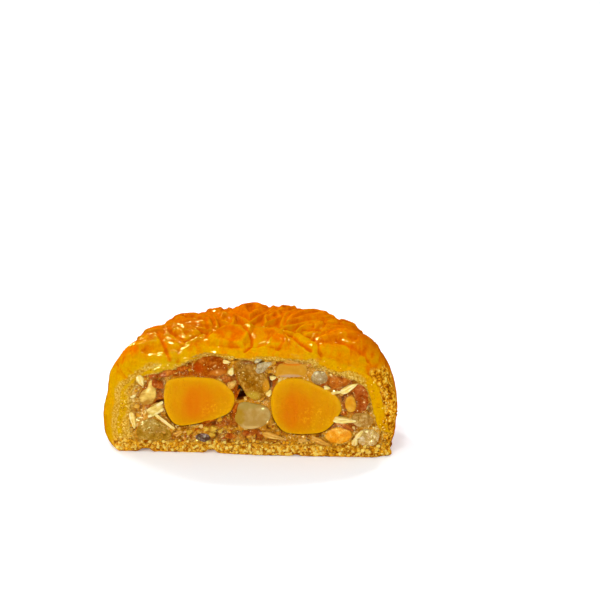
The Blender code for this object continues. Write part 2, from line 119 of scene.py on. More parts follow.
# Height below which the side isn't dragged, and heights between which the side turns into the top
DRAG_FOOT = 13
TOP_EDGE = (21, 29)

# The torn right end: where it starts along the cut, how far back it goes, and the height where it ends
TORN_START = (35.8, 37.6)
TORN_REACH = 6.5
TORN_TOP = (25.0, 28.5)

# Filling: its edge on the cut and how deep it goes
FILLING_EDGE = ((-33.4, 3.0), (-35.0, 11.5), (-33.8, 19.0), (-31.8, 23.4), (-22.0, 26.4), (-15.5, 29.9),
                (-9.0, 30.9), (-3.0, 30.1), (4.0, 29.8), (15.0, 29.8), (21.0, 27.5), (31.0, 24.0),
                (35.0, 20.0), (36.8, 12.0), (39.2, 5.6), (36.0, 2.3), (15.0, 2.9), (-20.0, 2.9))
FILLING_DEPTH = 35.5

# Lumps in the surface of a cut piece: (size, height)
WET = ((3.0, 0.45), (1.2, 0.25), (0.6, 0.12))
CALM = ((3.0, 0.3), (1.2, 0.1))
FIRM = ((4.0, 0.14), (1.2, 0.05))
FINE = ((1.6, 0.25), (0.7, 0.15))
SOFT = ((3.0, 0.15),)
# Pieces that the cut shows, yolks first: finish, slot, how deep each goes, twice how far it stands out,
# how square the rim of its face is, its lumps, and the points of its outline, clockwise from the left
PIECES = {
    "yolk_left": ("yolk_left", "yolk", 9.0, 0.6, 12, FIRM, (
        (-23.9, 19.9), (-22.3, 22.6), (-15.8, 23.5), (-9.1, 22.7), (-5.3, 19.8), (-4.4, 16.7), (-5.8, 13.2),
        (-10.2, 11.0), (-16.0, 9.3), (-20.4, 8.9), (-22.5, 10.8), (-23.9, 14.7))),
    "yolk_right": ("yolk_right", "yolk", 9.5, 0.6, 12, FIRM, (
        (6.8, 16.9), (7.5, 20.5), (10.1, 23.2), (14.9, 23.5), (19.7, 21.5), (24.4, 19.0), (26.4, 15.7),
        (25.4, 12.0), (22.6, 8.5), (18.7, 7.0), (11.5, 7.1), (8.7, 9.2), (7.2, 12.7))),
    "melon_brown": ("melon_brown", "melon", 6.0, 1.3, 7, WET, (
        (-3.5, 27.4), (-2.3, 28.8), (0.3, 28.9), (2.6, 27.2), (4.5, 24.5), (5.9, 21.4), (4.9, 18.9),
        (2.5, 17.4), (0.4, 17.8), (-1.2, 20.1), (-2.9, 23.8))),
    "melon_pale": ("melon_pale", "melon", 6.0, 1.2, 7, CALM, (
        (-3.3, 13.1), (-2.7, 15.2), (-1.3, 16.0), (1.6, 15.7), (4.6, 14.8), (6.0, 12.8), (5.4, 10.4),
        (3.0, 8.7), (0.4, 8.1), (-2.2, 8.9), (-3.6, 10.9))),
    "melon_olive": ("melon_olive", "melon", 5.0, 0.5, 5, WET, (
        (-32.2, 7.0), (-30.2, 9.6), (-27.3, 10.2), (-24.2, 7.8), (-22.9, 5.8), (-23.8, 4.3), (-27.3, 3.7),
        (-31.0, 4.1), (-32.4, 5.2))),
    "melon_grey": ("melon_grey", "melon", 4.0, 0.9, 3, WET, (
        (31.9, 5.3), (32.7, 7.4), (34.8, 8.1), (36.6, 7.4), (37.4, 5.4), (36.6, 3.9), (34.6, 3.3),
        (32.8, 3.8))),
    "melon_round": ("melon_round", "melon", 4.0, 1.2, 3, FINE, (
        (18.3, 24.0), (18.9, 25.4), (20.4, 26.1), (21.9, 25.5), (22.5, 24.0), (21.7, 22.8), (20.2, 22.6),
        (18.9, 23.0))),
    "ham_top": ("ham_top", "ham", 5.0, 0.8, 6, WET, (
        (-15.3, 27.0), (-14.3, 29.1), (-11.8, 29.8), (-8.7, 29.9), (-6.9, 28.4), (-6.4, 25.9), (-9.0, 24.7),
        (-12.9, 24.7), (-14.9, 25.5))),
    "ham_right": ("ham_right", "ham", 4.0, 0.4, 4, WET, (
        (23.7, 23.2), (24.3, 24.3), (26.3, 24.2), (28.7, 23.4), (28.4, 22.4), (26.2, 21.5), (24.3, 21.9))),
    "ham_far": ("ham_far", "ham", 4.0, 0.4, 4, WET, (
        (30.7, 21.2), (31.8, 22.0), (33.2, 21.3), (34.0, 19.6), (33.9, 16.7), (33.3, 14.4), (32.2, 14.7),
        (31.9, 16.9), (30.9, 19.3))),
    "chicken": ("chicken", "chicken", 5.0, 1.2, 9, SOFT, (
        (8.1, 25.7), (8.7, 27.4), (10.0, 28.2), (15.4, 28.3), (16.4, 27.2), (16.3, 25.5), (14.3, 24.8),
        (8.7, 24.8))),
    "nut_pear": ("nut", "nut", 3.5, 1.3, 2.6, CALM, (
        (-31.6, 16.3), (-30.8, 18.5), (-29.0, 20.1), (-28.4, 21.9), (-27.6, 22.4), (-26.9, 21.8),
        (-27.0, 19.9), (-27.1, 17.3), (-28.4, 15.5), (-30.6, 15.2))),
    "nut_almond": ("nut", "nut", 3.0, 1.1, 3, CALM, (
        (-29.1, 13.0), (-27.5, 14.1), (-25.6, 15.2), (-24.9, 14.4), (-26.3, 12.6), (-28.1, 11.4),
        (-28.9, 12.0))),
    "nut_amber": ("amber", "nut", 3.0, 0.9, 2.6, CALM, (
        (28.1, 17.2), (28.9, 18.3), (30.1, 17.9), (30.7, 16.0), (30.3, 14.4), (29.0, 14.1), (28.1, 15.3))),
    "peel_orange": ("peel", "peel", 4.5, 0.7, 4, WET, (
        (22.6, 6.0), (23.9, 7.8), (25.8, 8.6), (28.2, 8.1), (29.4, 6.5), (28.3, 4.8), (25.9, 4.0),
        (23.7, 4.5))),
    "raisin": ("raisin", "dried_fruit", 3.5, 0.8, 2.6, WET, (
        (-15.4, 5.0), (-14.1, 5.9), (-12.2, 5.5), (-11.7, 4.5), (-13.2, 3.8), (-14.7, 4.1))),
    "date_brown": ("date", "dried_fruit", 3.5, 0.4, 5, WET, (
        (29.9, 11.8), (30.8, 13.0), (33.2, 13.2), (35.1, 12.1), (35.5, 10.6), (34.6, 9.4), (32.5, 9.3),
        (30.8, 10.1))),
}
# How a cut piece's ball is divided: round it and from pole to pole
YOLK_MESH = (144, 64)
PIECE_MESH = (96, 44)
# The share of the ball, from its front pole, that makes the cut face
FRONT_SHARE = 0.62
# How far a cut piece spreads into the gap of 0.4 mm that the solids keep round it
GAP_SPREAD = 0.3

# The crust's mesh, and the numbers of its corners that the finish reads
SPIN_STEPS = 300
BASE_STEPS = 56
CUT_STEPS = 20
OUTLINE_STEP = 0.43
MIDDLE_STEP = 1.2
SKIN_NUMBERS = ("lift", "groove", "torn", "redness_and_crease_shade", "crumb")
PLAIN_CRUMB = (0.0, 0.0, 0.0, 0.0, 1.0)
HOLLOW_MIDDLE = (0.0, 14.0)
# Rings of the bowls behind the cut, as shares of the filling's depth
CRUST_RINGS = (0.1, 0.45, 0.75, 0.95)
CORE_RINGS = (0.3, 0.6, 0.83, 0.97)
# How far to each side a place is compared, to tell a groove
GROOVE_PROBE = 1.2
# Loose grains of the crust: how many, where they may lie across and up, and how far from the filling
CRUMB_COUNT = 1600
CRUMB_SEED = 11
CRUMB_SPAN = ((-39, 42), (0.6, 30))
CRUMB_BAND = 7.0


# Curves and rules shared by the pieces

def smooth(low, high, value):
    """0 below low, 1 above high and an even slope between."""
    share = min(1.0, max(0.0, (value - low) / (high - low)))
    return share * share * (3 - 2 * share)


def hump(centre, reach, value):
    """1 at the centre, fading to 0 at a reach on either side."""
    return 1 - smooth(0.0, reach, abs(value - centre))


def spline(points, place, closed=False):
    """A point on the smooth curve through points, at place, counted in points."""
    count = len(points)
    start = int(math.floor(place))
    share = place - start
    if closed:
        near = [points[(start + k) % count] for k in (-1, 0, 1, 2)]
    else:
        near = [points[min(count - 1, max(0, start + k))] for k in (-1, 0, 1, 2)]
    result = []
    for a, b, c, d in zip(*near):
        bend = 2 * a - 5 * b + 4 * c - d
        twist = 3 * b - a - 3 * c + d
        result.append(b + 0.5 * share * (c - a + share * (bend + share * twist)))
    return tuple(result)


def ripple(x, y, z, size, seed=0.0):
    """Even unevenness between about -1 and 1, with swells of a size in millimetres."""
    return noise.noise(Vector((x / size + seed, y / size - seed, z / size + 0.37 * seed)))


def grit(x, y, z, size, seed=0.0):
    """Round grains of a size in millimetres: 1 at a grain's middle and 0 in the gaps between."""
    distances = noise.voronoi(Vector((x / size + seed, y / size, z / size - seed)))[0]
    return max(0.0, 1 - 1.25 * distances[0])


def placed(x, y, z):
    """Millimetres round the middle of the full round to metres in the frame of the solids."""
    return Vector(((x - FRAME_X) * MM, (y - FRAME_Y) * MM, z * MM))


def unplaced(corner):
    """Metres in the frame of the solids to millimetres round the middle of the full round."""
    return corner.x / MM + FRAME_X, corner.y / MM + FRAME_Y, corner.z / MM


def grown(outline, distance):
    """The outline moved outwards by a distance."""
    count = len(outline)
    result = []
    for k, (x, z) in enumerate(outline):
        before = outline[k - 1]
        after = outline[(k + 1) % count]
        run = Vector((after[0] - before[0], after[1] - before[1])).normalized()
        result.append((x + distance * run.y, z - distance * run.x))
    return result


def rounded(points, count):
    """Evenly counted places on the closed curve through clockwise points, turned the other way."""
    edge = [spline(points, len(points) * k / count, closed=True) for k in range(count)]
    edge.reverse()
    return edge


def filling_outline(growth=0.0, count=200):
    """The filling's edge on the cut, grown outwards."""
    return grown(rounded(FILLING_EDGE, count), growth)


# The moulded skin

def petal_inside(along, across, outline):
    """How far inside the petal's pointed outline a place is, in millimetres."""
    start, tip, half_width = outline
    share = (along - start) / (tip - start)
    if share <= 0 or share >= 1:
        return -1.0
    return half_width * 2.6 * share * math.sqrt(1 - share) - abs(across)


def petal_height(along, across, rim, leaf, slit, rise, slit_depth):
    """Height of one petal: a raised rim, a channel, and an inner leaf with a slit."""
    edge = petal_inside(along, across, rim)
    height = rise * smooth(-0.3, 1.1, edge)
    if height > 0:
        height -= 0.35 * rise * smooth(0.8, 1.9, edge) * (1 - smooth(2.1, 3.2, edge))
        height += LEAF_RISE * smooth(-0.4, 1.2, petal_inside(along, across, leaf))
        height -= slit_depth * smooth(-0.5, 0.9, petal_inside(along, across, slit))
    return height


def bud_height(x, y):
    """Height of the plump buds over the disc, each a rim round a dip, and how far a place is in a dip."""
    height = 0.0
    dip = 0.0
    for turn, distance, length, width, rise in BUDS:
        angle = math.radians(turn)
        along = x * math.cos(angle) + y * math.sin(angle) - distance
        across = y * math.cos(angle) - x * math.sin(angle)
        narrow = 1 + 0.7 * max(-1.0, min(1.0, 2 * along / length))
        spread = (2 * along / length) ** 2 + (2 * across / width / narrow) ** 2
        if spread < 1.4:
            inner = 1 - smooth(0.15, 0.7, spread)
            height = max(height, rise * (1 - smooth(0.6, 1.4, spread)) - 0.3 * rise * inner)
            dip = max(dip, inner)
    return height, dip


def disc_distance(x, y):
    """How far a place is from the disc's middle, counted so that the disc's edge is at its radius."""
    return DISC_RADIUS * math.hypot(x / DISC_REACH[0], y / DISC_REACH[1])


def line_distance(points, x, y):
    """Distance of a place from a line through points."""
    nearest = 99.0
    for (ax, ay), (bx, by) in zip(points, points[1:]):
        run_x = bx - ax
        run_y = by - ay
        share = ((x - ax) * run_x + (y - ay) * run_y) / (run_x * run_x + run_y * run_y)
        share = min(1.0, max(0.0, share))
        nearest = min(nearest, math.hypot(x - ax - share * run_x, y - ay - share * run_y))
    return nearest


def marks(x, y):
    """Height that creases and ridges give a place, and the browning they and the patches give it, in the
    creases partly painted crease shade.
    """
    height = 0.0
    brown = 0.0
    for reach, rise, tint, points in MARKS:
        if abs(x - points[0][0]) < 18 and abs(y - points[0][1]) < 18:
            near = hump(0.0, reach, line_distance(points, x, y) + 0.25 * reach * ripple(x, y, 0, 1.8, 3.1))
            height += rise * near
            brown = max(brown, tint * near)
    return height, brown


def relief(radius, angle):
    """Height of the moulded pattern over the plain top."""
    height = 0.0
    x = radius * math.cos(angle)
    y = radius * math.sin(angle)
    slit_depth = SLIT_DEPTH * (0.4 + 0.5 * smooth(4, 13, y))
    for shift, shapes, rise in ((0, LARGE_PETAL, PETAL_RISE), (1, SMALL_PETAL, 0.8 * PETAL_RISE),
                                (1, INNER_LEAF, 0.9 * PETAL_RISE)):
        turn = (angle - FIRST_LARGE - shift * LOBE_TURN) / (2 * LOBE_TURN)
        off_axis = (turn - round(turn)) * 2 * LOBE_TURN
        place = (radius * math.cos(off_axis), radius * math.sin(off_axis))
        height = max(height, petal_height(*place, *shapes, rise, slit_depth))
    from_disc = disc_distance(x, y)
    disc = 1 - smooth(DISC_RADIUS - 0.8, DISC_RADIUS + 0.6, from_disc)
    height = height * (1 - disc) + disc * DISC_RISE
    height -= 0.9 * hump(DISC_RADIUS + 0.6, 1.0, from_disc)
    return height + bud_height(x, y)[0] + marks(x, y)[0]


def lobed(radius, angle, height):
    """Radius of the side where the mould's lobes meet in sharp inward creases."""
    turn = (angle - FIRST_LARGE) / LOBE_TURN
    off_crest = 2 * abs(turn - round(turn))
    crease = 1 - math.sqrt(1 - 0.97 * off_crest * off_crest)
    beside_cut = smooth(1, 9, radius * math.sin(angle))
    weight = smooth(24, 38, radius) * (0.25 + 0.75 * smooth(1, 12, height)) * beside_cut
    return radius - LOBE_DEPTH * weight * crease * 1.2


def dragged(x, y, z):
    """The place of a point of the skin once the knife has pulled it down and in."""
    out = min(1.0, abs(x) / 34)
    length = DRAG_LENGTH + (DRAG_LENGTH_AT_SIDES - DRAG_LENGTH) * out ** 2
    drop = DRAG_DROP + DRAG_DROP_AT_SIDES * out ** 3
    near = max(0.0, 1 - y / length) ** 1.55
    upper = max(0.0, (z - DRAG_FOOT) / (CAKE_HEIGHT - DRAG_FOOT)) ** 1.2
    side = min(1.0, abs(x) / CAKE_RADIUS) ** 3
    if x < 0:
        beside = max(0.0, 1 - y / LEFT_PINCH_LENGTH) ** 1.8
        shift = LEFT_PINCH * smooth(-4, 4, z)
        x += LEFT_TUCK * side * hump(17, 9, z) * (1 - smooth(6, 20, y))
    else:
        beside = max(0.0, 1 - y / RIGHT_PINCH_LENGTH) ** 1.8
        shift = RIGHT_FOOT * (1 - smooth(0, 2, z))
        shift -= RIGHT_PINCH * smooth(0, 3, z) * (1 - 0.6 * smooth(8, 14, z))
    return x + shift * beside * side, y, z * (1 + TOP_LEAN * x) - drop * near * upper


def skin_profile():
    """Radius and height of the turned outline, in even steps from the top's middle to the base's."""
    knots = len(SIDE_PROFILE) - 1
    fine = [spline(SIDE_PROFILE, k / 60) for k in range(60 * knots + 1)]
    line = [(0.0, CAKE_HEIGHT)]
    for point in fine:
        if math.dist(point, line[-1]) >= (MIDDLE_STEP if point[0] < 1.0 else OUTLINE_STEP):
            line.append(point)
    line.append(SIDE_PROFILE[-1])
    line += [(SIDE_PROFILE[-1][0] * (1 - k / BASE_STEPS), 0.0) for k in range(1, BASE_STEPS + 1)]
    return line


def torn_share(x, y, z):
    """How rough the pastry is: 1 at the torn right end, 0 on the whole skin."""
    reach = TORN_REACH + 1.5 * ripple(x, y, z, 3.0, 4.0)
    near_end = smooth(*TORN_START, x + 1.4 * ripple(x, y, z, 2.4, 9.0) + 0.16 * max(0.0, z - 18))
    return near_end * (1 - smooth(reach - 2.0, reach + 1.0, y)) * (1 - smooth(*TORN_TOP, z))


def skin_place(radius, angle, height):
    """A point of the baked skin, its lift in the pattern, its depth in a groove, how torn it is, and how
    reddened it is, in the creases partly as painted crease shade.
    """
    on_top = smooth(*TOP_EDGE, height)
    pattern = relief(radius, angle) if on_top > 0 else 0.0
    raised = height + on_top * pattern * (1 - 0.4 * smooth(35, 39, radius))
    side = lobed(radius, angle, height)
    x, y, z = dragged(side * math.cos(angle), side * math.sin(angle), raised)
    flat_x = radius * math.cos(angle)
    flat_y = radius * math.sin(angle)
    on_disc = disc_distance(flat_x, flat_y) < DISC_RADIUS + 0.4
    lift = on_top * (pattern - DISC_RISE * on_disc) / (PETAL_RISE + LEAF_RISE)
    groove = 0.0
    if on_top > 0:
        turned = GROOVE_PROBE / max(radius, 2.0)
        around = (relief(radius + GROOVE_PROBE, angle), relief(max(0.0, radius - GROOVE_PROBE), angle),
                  relief(radius, angle + turned), relief(radius, angle - turned))
        groove = on_top * (sum(around) / len(around) - pattern)
    torn = torn_share(x, y, z)
    redness_and_crease_shade = max(0.35 * bud_height(flat_x, flat_y)[1], marks(flat_x, flat_y)[1] * smooth(22, 27, height))
    redness_and_crease_shade = max(redness_and_crease_shade, 0.7 * smooth(34, 41, radius) * smooth(22, 27, z) * (1 - smooth(12, 24, y)) * (x < 0))
    redness_and_crease_shade = max(redness_and_crease_shade, 0.7 * (1 - smooth(5, 12, y)) * hump(27.5, 4.0, z) * hump(35.5, 4.0, x))
    swell = 0.3 * ripple(x, y, z, 5.5, 1.0) + 0.16 * ripple(x, y, z, 2.1, 2.0)
    rough = torn * (1.1 * grit(x, y, z, 2.4, 3.0) + 0.9 * ripple(x, y, z, 1.3, 5.0) - 1.1)
    push = (swell + rough) * smooth(0.0, 2.0, z)
    outward = Vector((math.cos(angle) * 0.8, math.sin(angle) * 0.8, 0.9 * smooth(10, 30, height)))
    outward.normalize()
    place = (x + push * outward.x, max(0.0, y + push * outward.y), z + push * outward.z)
    return place, lift, groove, torn, redness_and_crease_shade


# Ways of modelling

def deselect():
    """Leave nothing selected, so that an operator acts on the new piece alone."""
    if bpy.context.object and bpy.context.object.mode == "EDIT":
        bpy.ops.object.mode_set(mode="OBJECT")
    bpy.ops.object.select_all(action="DESELECT")


def taken_up(name):
    """The primitive that was just added, under its own name."""
    piece = bpy.context.object
    piece.name = name
    piece.data.name = name
    return piece


def open_edit(piece, select=()):
    """Enter edit mode with only some corners selected, and give the mesh that is being edited."""
    bpy.ops.object.mode_set(mode="EDIT")
    bpy.ops.mesh.select_mode(type="VERT")
    bpy.ops.mesh.select_all(action="DESELECT")
    work = bmesh.from_edit_mesh(piece.data)
    work.verts.ensure_lookup_table()
    for index in select:
        work.verts[index].select = True
    work.select_flush(True)
    return work


def close_edit(piece):
    """Write the edits back and leave edit mode."""
    bmesh.update_edit_mesh(piece.data)
    bpy.ops.object.mode_set(mode="OBJECT")


def open_rim(piece):
    """The corners of the piece's one open edge, in order round it, and their places."""
    work = open_edit(piece)
    work.edges.index_update()
    rim = {edge for edge in work.edges if edge.is_boundary}
    first = min(rim, key=lambda edge: edge.index)
    loop = [first.verts[0], first.verts[1]]
    rim.discard(first)
    while True:
        follow = [edge for edge in loop[-1].link_edges if edge in rim]
        if not follow:
            break
        rim.discard(follow[0])
        loop.append(follow[0].other_vert(loop[-1]))
    if loop[0] is loop[-1]:
        loop.pop()
    indices = [corner.index for corner in loop]
    places = [unplaced(corner.co) for corner in loop]
    close_edit(piece)
    return indices, places


def extrude_rim(piece, loop, places):
    """Extrude a closed loop of corners and put the new corners at the places; gives the new loop."""
    open_edit(piece)
    bpy.ops.mesh.select_mode(type="EDGE")
    work = bmesh.from_edit_mesh(piece.data)
    count = len(work.verts)
    for edge in work.edges:
        if edge.is_boundary:
            edge.select = True
    bpy.ops.mesh.extrude_region_move()
    work = bmesh.from_edit_mesh(piece.data)
    work.verts.ensure_lookup_table()
    old = {index: order for order, index in enumerate(loop)}
    new_loop = [0] * len(loop)
    for corner in work.verts[count:]:
        for edge in corner.link_edges:
            order = old.get(edge.other_vert(corner).index)
            if order is not None:
                new_loop[order] = corner.index
                corner.co = placed(*places[order])
    close_edit(piece)
    return new_loop


def bowl(piece, loop, rim, shares, middle):
    """Carry an open loop back over a bowl as deep as the filling, from its rim (x, z), and close it."""
    for share in shares:
        narrow = math.sqrt(1 - share * share)
        loop = extrude_rim(piece, loop, [(middle[0] + (x - middle[0]) * narrow, share * FILLING_DEPTH,
                                          middle[1] + (z - middle[1]) * narrow) for x, z in rim])
    extrude_rim(piece, loop, [unplaced(piece.data.vertices[index].co) for index in loop])
    bpy.ops.object.mode_set(mode="EDIT")
    bpy.ops.mesh.merge(type="CENTER")
    bpy.ops.mesh.select_all(action="SELECT")
    bpy.ops.mesh.normals_make_consistent(inside=False)
    close_edit(piece)


def give_attribute(piece, name, values):
    """A number for each corner, which the piece's finish reads."""
    attribute = piece.data.attributes.new(name, "FLOAT", "POINT")
    attribute.data.foreach_set("value", np.asarray(values, dtype=np.float32))


def finish_piece(piece, finish, node):
    """Give the piece its finish, and tie it to the solid that it stands for."""
    piece.data.materials.clear()
    piece.data.materials.append(finish)
    piece.data.shade_smooth()
    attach(piece, "root")
    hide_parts(node)
    return piece


# Shader sums

def shown(colour):
    """A colour as a screen shows it, 0 to 255, turned into the shader's; a link stays a link."""
    if not isinstance(colour, tuple):
        return colour
    return (*(((c / 255 + 0.055) / 1.055) ** 2.4 if c > 10 else c / 255 / 12.92 for c in colour), 1.0)


class Value:
    """A shader number that Python sums act on."""

    def __init__(self, finish, socket):
        self.finish = finish
        self.socket = socket

    def sum(self, operation, *terms):
        """A Math node over the terms."""
        node = self.finish.add("ShaderNodeMath", {"operation": operation}, dict(enumerate(terms)))
        return Value(self.finish, node.outputs[0])

    def __add__(self, other):
        return self.sum("ADD", self, other)

    def __sub__(self, other):
        return self.sum("SUBTRACT", self, other)

    def __mul__(self, other):
        return self.sum("MULTIPLY", self, other)

    def __rsub__(self, other):
        return self.sum("SUBTRACT", other, self)

    __radd__ = __add__
    __rmul__ = __mul__

    def rise(self, low, high):
        """0 below low, 1 above high and an even slope between; turned round if low is above high."""
        sockets = {"Value": self, "From Min": low, "From Max": high}
        node = self.finish.add("ShaderNodeMapRange", {"interpolation_type": "SMOOTHSTEP"}, sockets)
        return Value(self.finish, node.outputs["Result"])


class Finish:
    """A material whose nodes are written as sums; what is the same all over goes on the shader's sockets."""

    def __init__(self, name, **constants):
        self.material = bpy.data.materials.new(name)
        self.material.use_nodes = True
        self.tree = self.material.node_tree
        self.shader = self.tree.nodes["Principled BSDF"]
        self.set(**{"Specular_IOR_Level": 0.0, **constants})
        self.place = self.add("ShaderNodeTexCoord").outputs["Object"]
        apart = self.add("ShaderNodeSeparateXYZ", {}, {0: self.place}).outputs
        self.x, self.y, self.z = (Value(self, side) * (1 / MM) + shift
                                  for side, shift in zip(apart, (FRAME_X, FRAME_Y, 0.0)))

    def add(self, kind, settings=None, sockets=None):
        """A node of a kind, with its settings, then the values or links of its sockets."""
        node = self.tree.nodes.new(kind)
        for key, setting in (settings or {}).items():
            setattr(node, key, setting)
        for key, value in (sockets or {}).items():
            self.put(node.inputs[key], value)
        return node

    def put(self, socket, value):
        """Set a socket to a value, or link it."""
        if isinstance(value, Value):
            value = value.socket
        if isinstance(value, bpy.types.NodeSocket):
            self.tree.links.new(value, socket)
        else:
            socket.default_value = value

    def set(self, **sockets):
        """Feed the shader's sockets; a low line in a name stands for a space."""
        for name, value in sockets.items():
            self.put(self.shader.inputs[name.replace("_", " ")], value)

    def attribute(self, name):
        """The number that the piece's corners carry under a name."""
        return Value(self, self.add("ShaderNodeAttribute", {"attribute_name": name}).outputs["Fac"])

    def noise(self, size, detail=2.0, rough=0.5, twist=0.0, stretch=None):
        """Cloudy unevenness from 0 to 1, with swells of a size in millimetres."""
        place = self.place
        if stretch:
            place = self.add("ShaderNodeMapping", {}, {"Vector": place, "Scale": stretch}).outputs[0]
        sockets = {"Vector": place, "Scale": 1 / MM / size, "Detail": detail, "Roughness": rough,
                   "Distortion": twist}
        return Value(self, self.add("ShaderNodeTexNoise", {}, sockets).outputs["Fac"])

    def cells(self, size, feature="F1"):
        """Cells of a size in millimetres: the distance from a cell's middle, or to its edge."""
        sockets = {"Vector": self.place, "Scale": 1 / MM / size}
        node = self.add("ShaderNodeTexVoronoi", {"feature": feature}, sockets)
        return Value(self, node.outputs["Distance"])

    def mix(self, share, first, second, blend="MIX"):
        """The first colour where share is 0, and the second laid over it where share is 1."""
        settings = {"data_type": "RGBA", "clamp_factor": True, "blend_type": blend}
        return self.add("ShaderNodeMix", settings, {0: share, 6: shown(first), 7: shown(second)}).outputs[2]

    def ramp(self, share, *stops):
        """A colour read off (place, colour) stops."""
        node = self.add("ShaderNodeValToRGB", {}, {0: share})
        band = node.color_ramp.elements
        while len(band) < len(stops):
            band.new(0.5)
        for element, (place, colour) in zip(band, stops):
            element.position = place
            element.color = shown(colour)
        return node.outputs["Color"]

    def blot(self, place, reach, uneven=None):
        """1 at a place (x, z) in the cut, fading to 0 at a reach across and up."""
        across = (self.x - place[0]) * (1 / reach[0])
        up = (self.z - place[1]) * (1 / reach[1])
        away = across * across + up * up
        if uneven:
            away = away + (uneven - 0.5) * 1.5
        return away.rise(1.1, 0.1)

    def bump(self, height):
        """Lean the surface by a height in millimetres."""
        node = self.add("ShaderNodeBump", {}, {"Height": height, "Distance": MM, "Strength": 1.0})
        self.set(Normal=node.outputs[0])


# Finishes

def see_through(clear, *reach):
    """How clear a food is, and how far into it red, green and blue light goes, in millimetres."""
    return {"Subsurface_Weight": clear, "Subsurface_Radius": [MM * side for side in reach],
            "Subsurface_Scale": 1.0}


def glazed_pastry():
    """Egg-washed skin, its pale crumbly cut edge and its torn end, as the corners' numbers say."""
    f = Finish("glazed_pastry", Coat_Roughness=0.04, Coat_IOR=1.6)
    lift, groove, torn, redness_and_crease_shade, crumb = (f.attribute(name) for name in SKIN_NUMBERS)
    broad = f.noise(11, 2)
    patch = f.noise(3.0, 3, 0.6, 0.4)
    fine = f.noise(0.7, 3, 0.6)
    streaks = f.noise(2.4, 3, 0.55, 0.5, stretch=(1.5, 0.5, 0.4))
    # In the grooves the glaze darkens, partly from wash pooled there and partly as painted crease shade.
    browning_and_shade = lift * 0.2 + groove * 0.5 + broad * 0.5 + patch * 0.8 + streaks * 1.4 - 1.2
    # Darker towards the back, at the right back and on the top: painted shade of the far top and the right
    # rim.
    browning_and_shade = browning_and_shade + f.y.rise(8, 34) * 0.26 + f.x.rise(20, 40) * f.y.rise(5, 15) * 0.3
    browning_and_shade = browning_and_shade + f.z.rise(26, 36) * 0.1
    glaze = f.ramp(browning_and_shade, (0.0, (226, 162, 0)), (0.25, (230, 144, 0)), (0.5, (226, 120, 0)),
                   (0.75, (210, 94, 0)), (1.0, (174, 70, 0)))
    low = f.x.rise(-6, -20) * 0.6 + f.z.rise(31, 27) * 0.45 + f.x.rise(34, 36) * 0.15 + 0.15
    yellow = (f.y + patch * 6.0 + streaks * 4.0).rise(11.0, 4.0) * low
    glaze = f.mix(yellow, glaze, (224, 166, 0))
    # Redder where the corners say so; in the creases this is partly painted crease shade.
    reddish = (redness_and_crease_shade + (patch - 0.5) * 0.9 * redness_and_crease_shade.rise(0.0, 0.3)).rise(0.1, 1.1)
    glaze = f.mix(reddish * 0.8, glaze, (222, 94, 0))
    # Darker orange in the grooves: partly wash pooled there, partly painted crease shade.
    glaze = f.mix(groove.rise(0.1, 0.7) * 0.6, glaze, (204, 92, 0))
    glaze = f.mix(f.z.rise(9, 3) * f.y.rise(2, 6) * 0.5, glaze, (220, 122, 0))
    shade = f.ramp(fine * 0.6 + patch * 0.4, (0.3, (210, 188, 140)), (0.62, (247, 255, 255)))
    glaze = f.mix(0.65, glaze, shade, "MULTIPLY")
    # Painted shade: darker towards the back and at the right rim.
    glaze = f.mix(f.y.rise(3, 14) * 0.45, glaze, (202, 98, 0))
    glaze = f.mix(f.x.rise(26, 35) * f.y.rise(2, 8) * 0.75, glaze, (186, 86, 0))

    grains = f.cells(0.62)
    fleck = f.noise(0.38, 2, 0.6)
    # Crumb tones vary; darkest in the gaps between grains, a painted shade, and palest at the grains'
    # middles, a painted highlight.
    crumbs = f.ramp(grains * 0.75 + fleck * 0.5 + f.noise(2.5) * 0.35 - 0.3, (0.0, (248, 216, 124)),
                    (0.4, (226, 176, 62)), (0.7, (200, 138, 18)), (1.0, (150, 84, 0)))
    golden = f.ramp(f.cells(1.3) * 0.9 + grains * 0.3 + fleck * 0.7 + f.noise(1.9, 2) * 0.9 - 0.88,
                    (0.0, (255, 228, 116)), (0.32, (252, 194, 46)), (0.58, (224, 138, 10)),
                    (0.88, (134, 58, 0)))
    crumbs = f.mix(torn.rise(0.05, 0.7) + f.z.rise(5.5, 2.5) * 0.75, crumbs, golden)
    # Dark lines in the torn end's cracks: painted shade.
    crack_shade = f.cells(2.6, "DISTANCE_TO_EDGE").rise(0.09, 0.02) * torn.rise(0.3, 0.8) * patch.rise(0.45, 0.6)
    crumbs = f.mix(crack_shade, crumbs, (140, 70, 0))
    bare = (crumb + torn * 0.9 + (f.noise(1.1, 3, 0.6) - 0.5) * 0.9).rise(0.25, 0.8)

    left = f.x.rise(-6, -16)
    dry = (1 - redness_and_crease_shade.rise(0.15, 0.6)) * (1 - groove.rise(0.1, 0.45))
    gloss = (1 - bare) * dry * (broad * 0.3 + patch * 0.7 + left * 0.1).rise(0.52, 0.56)
    f.set(Base_Color=f.mix(bare, glaze, crumbs), Roughness=f.noise(2.0) * 0.12 + 0.36 + bare * 0.35,
          Coat_Weight=gloss * (f.y.rise(20, 12) * 0.5 + 0.5))
    gloss_bumps = f.noise(1.6, 0, 0.5, 0.3) * 0.25 + f.noise(3.2, 0, 0.5, 0.3) * 0.4
    gloss_bumps = gloss_bumps + f.noise(1.6, 0, 0.5, 0.2, stretch=(0.35, 1.3, 1.3)) * left * 0.6
    crumb_bumps = (1 - grains) * 0.5 + fleck * 0.25 + f.noise(1.6, 2) * 0.4
    f.bump(gloss_bumps * (1 - bare) + crumb_bumps * bare)
    return f.material


